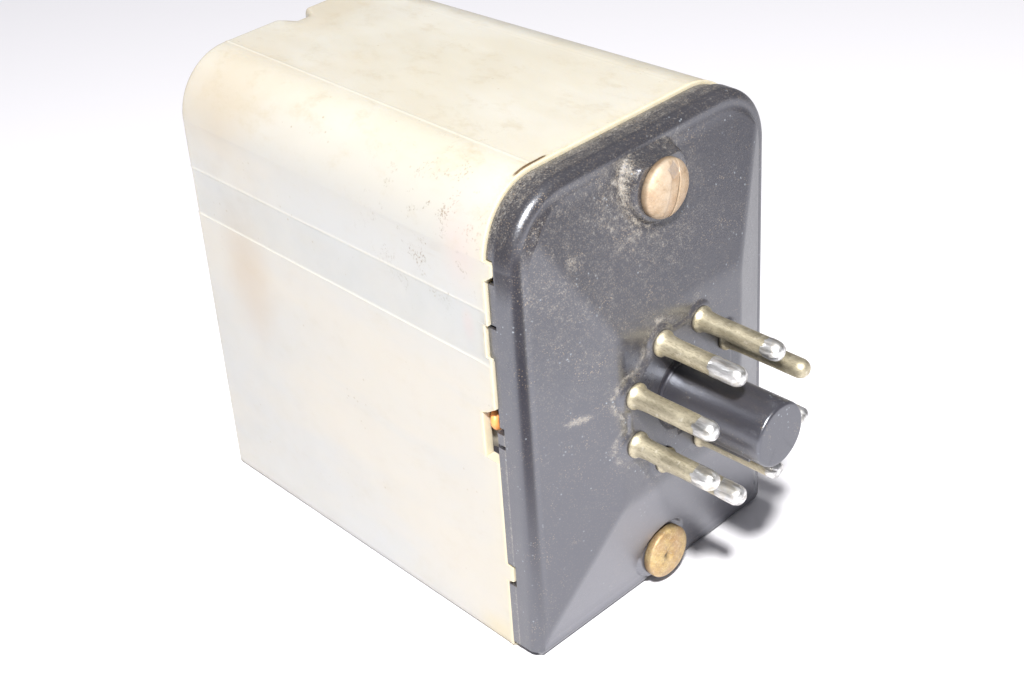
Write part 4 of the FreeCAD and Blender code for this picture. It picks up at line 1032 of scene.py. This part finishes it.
        # painted shade: a deep brown line where the cover's edge meets the base at the top left, pushed above one
        gap = (z > 20) * step01(-x, 9.6, 10.6) * (1 - step01(-x, 14.6, 16.0))
        marks_and_gap_shade = np.clip(marks_and_gap_shade, 0, 1) + 3.0 * gap * bell(dist - 0.52 - 0.02 * (x + 12.5), 0.20)
        add(x, yy, z, lin=np.where(side_m, line * 0.75, fold * 0.6), edg=edg, pan=panel * (1 - 0.3 * s), marks_and_gap_shade=marks_and_gap_shade)
    R = 1.1
    for a in np.linspace(0.18, math.pi / 2, 8):
        x, z, _ = outer(near, relief + R - R * math.cos(a))
        yr = COVER_END - R + R * math.sin(a)
        add(x, yr - channel(x) * ((o.k == 4) | (o.k == 0) | (np.abs(x) < 4)), z, lin=0, edg=0.15)
    xe, ze, _ = outer(near, relief + R)
    for t in np.linspace(0.985, 0.02, 54):
        x, z = xe * t, cz + (ze - cz) * t
        st = 0.45 * bell(np.hypot((x + 1.5) * 0.8, z - 24), 5.0) * (0.5 + 0.5 * vnoise(x + 40, z + 40, 37))
        add(x, COVER_END - channel(x), z, marks_and_gap_shade=np.clip(st, 0, 1))
    bld = Builder()
    bld.rows(rows, pole0=(0, COVER_END - wall - channel(np.array(0.0)), cz), pole1=(0, COVER_END - channel(np.array(0.0)), cz))
    attrs = {k: np.concatenate([[0.0]] + v + [[0.0]]) for k, v in A.items()}
    ob = make("cover_shell", bld.verts(), bld.f, attrs=attrs)
    orient(ob)
    ob.data.set_sharp_from_angle(angle=math.radians(42))
    dress(ob, "nylon_milky")
    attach(ob, "cover_unit")
    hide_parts("cover")


build_cover()

# ------------------------------------------------------------------------ pins
SOLDER = {1: 3.1, 2: 2.9, 3: 2.6, 4: 4.3, 5: 2.1, 6: 0.0, 7: 1.8, 8: 1.6}


def build_pin(k):
    cx, cz = PINS[k]
    n = 56
    tip = PIN_TIP
    prof = [(0.30, PIN_IN), (0.80, PIN_IN), (0.88, PIN_IN - 0.08), (0.88, 6.9), (0.88, 0.05), (1.40, 0.05), (1.53, 0.0), (1.60, -0.08),
            (1.62, -0.20), (1.60, -0.34), (1.52, -0.47), (1.42, -0.58), (1.345, -0.72), (1.29, -0.92), (1.25, -1.20), (1.215, -1.6),
            (1.19, -2.1), (PIN_R, -2.7)]
    body = np.linspace(-3.3, tip + 1.6, 22)
    prof += [(PIN_R, y) for y in body]
    for a in np.linspace(0.08, math.pi / 2 - 0.06, 12):
        r = PIN_R * (math.cos(a) ** 0.72)
        prof.append((r, tip + 1.25 - 1.25 * math.sin(a)))
    th = np.linspace(0, 2 * math.pi, n, endpoint=False)
    rows, sol = [], []
    L = SOLDER[k]
    for r, y in prof:
        wob = 0.012 * vnoise(np.cos(th) * 1.5 + 20 + k, np.full(n, y * 0.7 + 20) + np.sin(th), 50 + k)
        rr = np.full(n, r) * (1 + wob * (y < -0.6))
        edge = L + 0.30 * vnoise(np.cos(th) * 2 + 30 + k * 3, np.sin(th) * 2 + 30, 60 + k)
        s = step01((tip + edge) - y, -0.10, 0.10) if L > 0 else np.zeros(n)
        if L > 0 and y < tip + L + 0.6:
            lump = vnoise(np.cos(th) * 3.2 + 10 + k, np.sin(th) * 3.2 + y * 1.1 + 40, 70 + k)
            lump = np.abs(lump) - 0.35
            rr = rr + s * (0.02 + 0.10 * lump) * np.clip(r / PIN_R, 0.2, 1)
            rr = np.minimum(rr, PIN_R + 0.06)
        rows.append(np.stack([cx + rr * np.cos(th), np.full(n, y), cz + rr * np.sin(th)], 1))
        sol.append(s)
    bld = Builder()
    bld.rows(rows, pole0=(cx, PIN_IN, cz), pole1=(cx, tip, cz))
    solder = np.concatenate([[0.0]] + [np.broadcast_to(s, (n,)) for s in sol] + [[1.0 if L > 0 else 0.0]])
    ob = make("pin_shell_%d" % k, bld.verts(), bld.f, attrs={"solder": solder})
    orient(ob)
    ob.data.set_sharp_from_angle(angle=math.radians(60))
    dress(ob, "pin_nickel")
    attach(ob, "base_unit")
    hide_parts("pin_%d" % k)


for k in range(1, 9):
    build_pin(k)


# ---------------------------------------------------------------------- screws
def build_screw(name, node, key, r_head, apex, sag, base_y, dz, shape):
    cz, y0, y1, hr = SCREWS[node]
    cz = cz + dz
    n, rings = 420, 84
    th = np.linspace(0, 2 * math.pi, n, endpoint=False)
    seat = base_y
    rows, dust, shade_and_specks, grey = [], [], [], []

    def top(x, z):
        r = np.hypot(x, z)
        q = np.clip(r / r_head, 0, 1)
        f = apex + sag * (0.30 * q * q + 0.70 * (1 - np.sqrt(1 - 0.985 * q ** 3.2)) / (1 - math.sqrt(0.015)))
        d, dk, gr, du = shape(x, z, r)
        return f + d, dk, gr, du

    for i in range(1, rings + 1):
        r = r_head * i / rings
        x, z = r * np.cos(th), r * np.sin(th)
        y, dk, gr, du = top(x, z)
        rows.append(np.stack([x, y, cz + z], 1))
        dust.append(np.clip(du, 0, 1))
        # painted shade round the outer rim of the head
        shade_and_specks.append(np.clip(dk + 0.25 * bell(r - r_head, 0.06), 0, 1))
        grey.append(np.clip(gr, 0, 1))
    yl = rows[-1][:, 1]
    # painted shade deepening down the head's side towards the seat
    for t, dr, dk in ((0.3, -0.01, 0.25), (0.7, -0.01, 0.5), (0.9, 0.0, 0.8), (1.0, 0.08, 0.9)):
        rows.append(np.stack([(r_head - dr) * np.cos(th), yl + (seat - yl) * t, cz + (r_head - dr) * np.sin(th)], 1))
        dust.append(np.full(n, 0.1))
        shade_and_specks.append(np.full(n, dk))
        grey.append(np.zeros(n))
    turns = int((y1 - seat) / 0.12)
    for i in range(turns):
        y = seat + (y1 - seat) * (i + 1) / turns
        ph = (y / 0.7) * 2 * math.pi
        r = 1.40 + 0.09 * np.cos(th - ph) * (y > seat + 1.2) * (y < y1 - 0.3)
        if y > y1 - 0.3:
            r = r - 0.3 * (y - y1 + 0.3) / 0.3
        rows.append(np.stack([r * np.cos(th), np.full(n, y), cz + r * np.sin(th)], 1))
        dust.append(np.zeros(n))
        shade_and_specks.append(np.full(n, 0.1))
        grey.append(np.zeros(n))
    bld = Builder()
    c0 = top(np.array([0.0]), np.array([0.0]))[0][0]
    bld.rows(rows, pole0=(0, c0, cz), pole1=(0, y1, cz))
    cat = lambda v: np.concatenate([[v[0][0]]] + v + [[0.0]])
    ob = make(name, bld.verts(), bld.f, attrs={"dust": cat(dust), "shade_and_specks": cat(shade_and_specks), "grey": cat(grey)})
    orient(ob)
    ob.data.set_sharp_from_angle(angle=math.radians(60))
    dress(ob, key)
    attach(ob, "base_unit")
    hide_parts(node)


def slotted(x, z, r):
    """A slot packed almost flush with dirt; one wall's shade is painted as a thin line."""
    x0, z0, x1, z1 = SLOT_A[0], SLOT_A[1], SLOT_B[0], SLOT_B[1]
    L = math.hypot(x1 - x0, z1 - z0)
    ux, uz = (x1 - x0) / L, (z1 - z0) / L
    a = (x - x0) * ux + (z - z0) * uz
    b = (x - x0) * uz - (z - z0) * ux
    b = b + 0.02 * vnoise(a * 1.5 + 20, a * 0.0 + 20, 82)
    along = step01(a, -0.4, 0.4)
    # painted shade of the slot wall
    line = bell(b, 0.075) * along
    left = step01(b, -0.03, 0.03) * step01(-b, -1.55, -1.25)
    n = vnoise(x * 1.3 + 30, z * 1.3 + 30, 81)
    n2 = vnoise(x * 4 + 30, z * 4 + 30, 83)
    n3 = vnoise(x * 9 + 60, z * 9 + 60, 85)
    gx, gz = x - GREY[0], z - GREY[1]
    g = step01(-np.maximum(np.abs(gx * 0.93 + gz * 0.36) / 0.72, np.abs(-gx * 0.36 + gz * 0.93) / 0.62), -1.25, -0.80)
    depth = 0.07 * left + 0.30 * line + 0.10 * g
    du = 0.50 + 0.26 * n + 0.15 * n2 + 0.22 * step01(z, 0.0, 2.6) - 0.25 * left
    du = du + 0.40 * bell(x + 1.0 - 0.1 * z, 0.6) - 0.30 * bell(x - 2.2, 0.9)
    return depth, np.clip(0.95 * line + 0.35 * np.clip(n3 - 0.55, 0, 1), 0, 1), 0.65 * g * (0.65 + 0.35 * n3), du


def dimpled(x, z, r):
    """A head with a punched, worn centre; painted shadow on the dimple's upper left side."""
    px, pz = DIMPLE
    ang = np.arctan2(z - pz, x - px)
    q = np.hypot((x - px) * 0.95, z - pz)
    n = vnoise(x * 1.6 + 30, z * 1.6 + 30, 84)
    rad = 1.05 + 0.18 * np.cos(4 * ang + 0.6)
    t = np.clip(q / rad, 0, 1)
    depth = 0.42 * (1 - t * t) ** 2
    # painted shadow on the upper left side of the dimple
    dk = 0.85 * bell(np.hypot(x - px + 0.40, z - pz - 0.10), 0.48)
    return depth, dk, 0.0 * x, 0.30 + 0.35 * n + 0.25 * step01(-z, 0.5, 3.0)


SLOT_A, SLOT_B, GREY, DIMPLE = (1.04, 1.44), (-0.24, -3.55), (0.41, 2.37), (-0.56, 0.30)
build_screw("screw_upper", "upper_base_screw", "screw_copper", 3.52, 0.62, 1.25, 2.60, -0.27, slotted)
build_screw("screw_lower", "lower_base_screw", "screw_brass", 3.45, 1.95, 0.85, 3.75, -0.22, dimpled)


# -------------------------------------------------- coil winding, spring, wires
def build_winding():
    lo, hi = mm_box("coil_winding")
    cx, cz = (lo[0] + hi[0]) / 2, (lo[2] + hi[2]) / 2
    R = (hi[0] - lo[0]) / 2
    n = 96
    pitch = 0.42
    y0, y1 = lo[1] + 0.05, hi[1] - 0.05
    m = int((y1 - y0) / pitch) * 6
    rows = []
    th = np.linspace(0, 2 * math.pi, n, endpoint=False)
    for i in range(m + 1):
        y = y0 + (y1 - y0) * i / m
        t = (i % 6) / 6.0
        r = R - 0.13 + 0.13 * abs(math.sin(math.pi * t)) + 0.0 * th
        rows.append(np.stack([cx + r * np.cos(th), np.full(n, y), cz + r * np.sin(th)], 1))
    inner = [np.stack([cx + 6.2 * np.cos(th), np.full(n, y), cz + 6.2 * np.sin(th)], 1) for y in (y1, y0)]
    bld = Builder()
    bld.rows(rows + inner + [rows[0]])
    ob = make("winding_turns", bld.verts(), bld.f)
    orient(ob)
    dress(ob, "enamelled_wire")
    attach(ob, "base_unit")
    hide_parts("coil_winding")


build_winding()


def sweep(name, path, radius, n=14):
    """Round tube along a dense list of points."""
    p = np.asarray(path, float)
    t = np.gradient(p, axis=0)
    t /= np.linalg.norm(t, axis=1)[:, None]
    up = np.array([0.0, 0.0, 1.0]) if abs(t[0][2]) < 0.9 else np.array([1.0, 0.0, 0.0])
    rows = []
    nrm = np.cross(t[0], up)
    a = np.linspace(0, 2 * math.pi, n, endpoint=False)
    for i in range(len(p)):
        nrm = nrm - t[i] * (nrm @ t[i])
        nrm /= np.linalg.norm(nrm)
        bi = np.cross(t[i], nrm)
        rows.append(p[i] + radius * (np.cos(a)[:, None] * nrm + np.sin(a)[:, None] * bi))
    bld = Builder()
    bld.rows(rows, pole0=p[0], pole1=p[-1])
    ob = make(name, bld.verts(), bld.f)
    orient(ob)
    return ob


def build_spring():
    lo, hi = mm_box("return_spring")
    cx, cz = (lo[0] + hi[0]) / 2, (lo[2] + hi[2]) / 2
    w = 0.24
    R = (hi[0] - lo[0]) / 2 - w
    y0, y1 = lo[1], hi[1]
    turns = 26
    u = np.linspace(0, 1, turns * 20 + 1)
    coil = np.stack([cx + R * np.cos(2 * math.pi * turns * u), y0 + 0.9 + (y1 - y0 - 1.8) * u, cz + R * np.sin(2 * math.pi * turns * u)], 1)
    lug = mm_box("armature")
    br = mm_box("spring_bracket")
    y_arm = 51.5
    y_br = float(br[1][1]) - 0.3
    # hooks: from the last turn to the axis and through the holes
    v = np.linspace(0, 1, 14)[1:]
    e0, e1 = coil[0], coil[-1]
    h0 = [e0 * (1 - t) + np.array([cx, y0 - 0.2, cz]) * t + np.array([0, -0.5 * math.sin(math.pi * t), 0]) for t in v]
    h0 += [np.array([cx, y0 - 0.2 + (y_br - 0.45 - (y0 - 0.2)) * t, cz]) for t in v]
    h1 = [e1 * (1 - t) + np.array([cx, y1 + 0.2, cz]) * t + np.array([0, 0.5 * math.sin(math.pi * t), 0]) for t in v]
    h1 += [np.array([cx, y1 + 0.2 + (y_arm + 0.9 - (y1 + 0.2)) * t, cz]) for t in v]
    path = np.array(h0[::-1] + list(coil) + h1)
    ob = sweep("spring_coil", path, w, 10)
    dress(ob, "spring_steel")
    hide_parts("return_spring")
    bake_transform(ob)


build_spring()


def smooth_path(points, per=14):
    """Catmull-Rom line through a few points."""
    p = np.asarray(points, float)
    p = np.vstack([2 * p[0] - p[1], p, 2 * p[-1] - p[-2]])
    out = []
    for i in range(1, len(p) - 2):
        for t in np.linspace(0, 1, per, endpoint=False):
            a, b, c, d = p[i - 1], p[i], p[i + 1], p[i + 2]
            out.append(0.5 * (2 * b + (c - a) * t + (2 * a - 5 * b + 4 * c - d) * t * t + (3 * b - a - 3 * c + d) * t ** 3))
    out.append(p[-2])
    return np.array(out)


def build_window_parts(k, sx, pin):
    """Coil lead that shows in the wire window, and the fibre strip behind it."""
    px, pz = PINS[pin]
    end = float(mm_box("coil_lead_%d" % k)[1][1])
    path = smooth_path([(px, PIN_IN, pz), (px, PIN_IN + 2.0, pz), (14.6 * sx, 11.2, -0.6), (17.6 * sx, 11.0, 0.75), (19.5 * sx, 10.45, 0.75),
                        (20.3 * sx, 10.25, 1.55), (19.75 * sx, 10.7, 2.35), (18.2 * sx, 12.0, 2.45), (15.4 * sx, 14.2, 0.4),
                        (11.8 * sx, 13.9, -4.8), (11.4 * sx, end, -6.2)])
    ob = sweep("coil_lead_sleeve_%d" % k, path, 0.5, 18)
    dress(ob, "wire_orange")
    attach(ob, "base_unit")
    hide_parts("coil_lead_%d" % k)
    # bent strip with rounded edges
    rows = []
    for t in np.linspace(0, 1, 22):
        y = 9.5 + 3.2 * t
        xm = (19.15 - 0.25 * math.sin(math.pi * t * 0.9)) * sx
        e = 0.13 * (1 if 0 < t < 1 else 0.6)
        prof = [(-e, -3.0), (-e * 0.3, -3.08), (e * 0.3, -3.08), (e, -3.0), (e, -1.2), (e, 0.0), (e * 0.3, 0.10), (-e * 0.3, 0.10), (-e, 0.0), (-e, -1.2)]
        rows.append([(xm + a, y, z + 0.08 * math.sin(5 * t)) for a, z in prof])
    rows = [np.array(r) for r in rows]
    bld = Builder()
    bld.rows(rows, pole0=rows[0].mean(0), pole1=rows[-1].mean(0))
    ob = make("window_strip_%d" % k, bld.verts(), bld.f, sharp=50)
    orient(ob)
    dress(ob, "fibre_grey")
    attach(ob, "base_unit")


build_window_parts(1, -1.0, 2)
build_window_parts(2, 1.0, 7)


def copy_node(node, name):
    src = nodes[node]
    ob = bpy.data.objects.new(name, src.data.copy())
    bpy.context.scene.collection.objects.link(ob)
    return ob


for k in (1, 2):
    lo, hi = mm_box("pigtail_%d" % k)
    ob = copy_node("pigtail_%d" % k, "pigtail_flex_%d" % k)
    ob.data.shade_smooth()
    ob.data.set_sharp_from_angle(angle=math.radians(50))
    dress(ob, "braid_copper")
    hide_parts("pigtail_%d" % k)
    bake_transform(ob)

# --------------------------------------------------------------- carried nodes
SLOT = {s["node"]: s["material_slot"] for s in record.get("subparts", [])}
REPLACED = {"base", "cover", "upper_base_screw", "lower_base_screw", "coil_winding", "return_spring", "pigtail_1", "pigtail_2", "coil_lead_1", "coil_lead_2"} | {
    "pin_%d" % k for k in range(1, 9)}
BEVEL = {"mounting_bracket": 0.12, "yoke": 0.15, "armature": 0.12, "moving_contact_carrier": 0.15, "contact_block_lower": 0.15,
         "contact_block_middle": 0.15, "contact_block_upper": 0.15, "spring_bracket": 0.06, "block_screws": 0.08, "carrier_rivets": 0.1,
         "core": 0.1, "core_screw": 0.1, "coil_bobbin": 0.12, "coil_tape": 0.06, "residual_shim": 0.02}
for name, ob in nodes.items():
    if name in REPLACED:
        continue
    key = SLOT.get(name, "plated_steel")
    ob.data.materials.clear()
    ob.data.materials.append(M[key])
    width = BEVEL.get(name, 0.04)
    if not any(t in name for t in ("wire", "lead")):
        weld = ob.modifiers.new("weld", "WELD")
        weld.merge_threshold = 0.000002
        bev = ob.modifiers.new("bevel", "BEVEL")
        bev.width = width * MM
        bev.segments = 2
        bev.limit_method = "ANGLE"
        bev.angle_limit = math.radians(40)
        bev.harden_normals = False

# --------------------------------------------------------------- floor, lights
scene = bpy.context.scene
fl_z = box_cad[0][2]
me = bpy.data.meshes.new("floor")
S = 2.5
me.from_pydata([(-S, -S, fl_z), (S, -S, fl_z), (S, S, fl_z), (-S, S, fl_z)], [], [(0, 1, 2, 3)])
floor = bpy.data.objects.new("floor", me)
scene.collection.objects.link(floor)
fm = Mat("floor_paper", (0.86, 0.855, 0.875), 0.6)
fm.color(fm.mix(fm.noise(7, 3.0), (0.845, 0.84, 0.885), (0.865, 0.86, 0.90)))
fm.normal(fm.bump(fm.noise(300, 3.0), 0.03, 0.0002))
me.materials.append(fm.m)
floor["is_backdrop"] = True


def area(name, loc, target, size, power, color=(1, 1, 1), shape="DISK"):
    d = bpy.data.lights.new(name, "AREA")
    d.shape = shape
    d.size = size
    d.energy = power
    d.color = color
    ob = bpy.data.objects.new(name, d)
    ob.location = loc
    ob.rotation_euler = (Vector(target) - Vector(loc)).to_track_quat("-Z", "Y").to_euler()
    scene.collection.objects.link(ob)
    return ob


area("key", (-0.266, -0.258, 0.450), (0, 0.01, 0), 0.05, 7.5, (1.0, 0.985, 0.96))
area("fill", (0.1, 0.1, 1.1), (0, 0.05, 0), 1.4, 0.7, (0.97, 0.98, 1.0))

world = bpy.data.worlds.new("studio")
scene.world = world
world.use_nodes = True
bg = world.node_tree.nodes["Background"]
bg.inputs["Color"].default_value = (0.93, 0.93, 1.0, 1)
bg.inputs["Strength"].default_value = 0.22

scene.view_settings.view_transform = "Standard"
scene.view_settings.look = "None"
scene.view_settings.exposure = 0.0
scene.view_settings.gamma = 1.0

lo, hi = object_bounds()
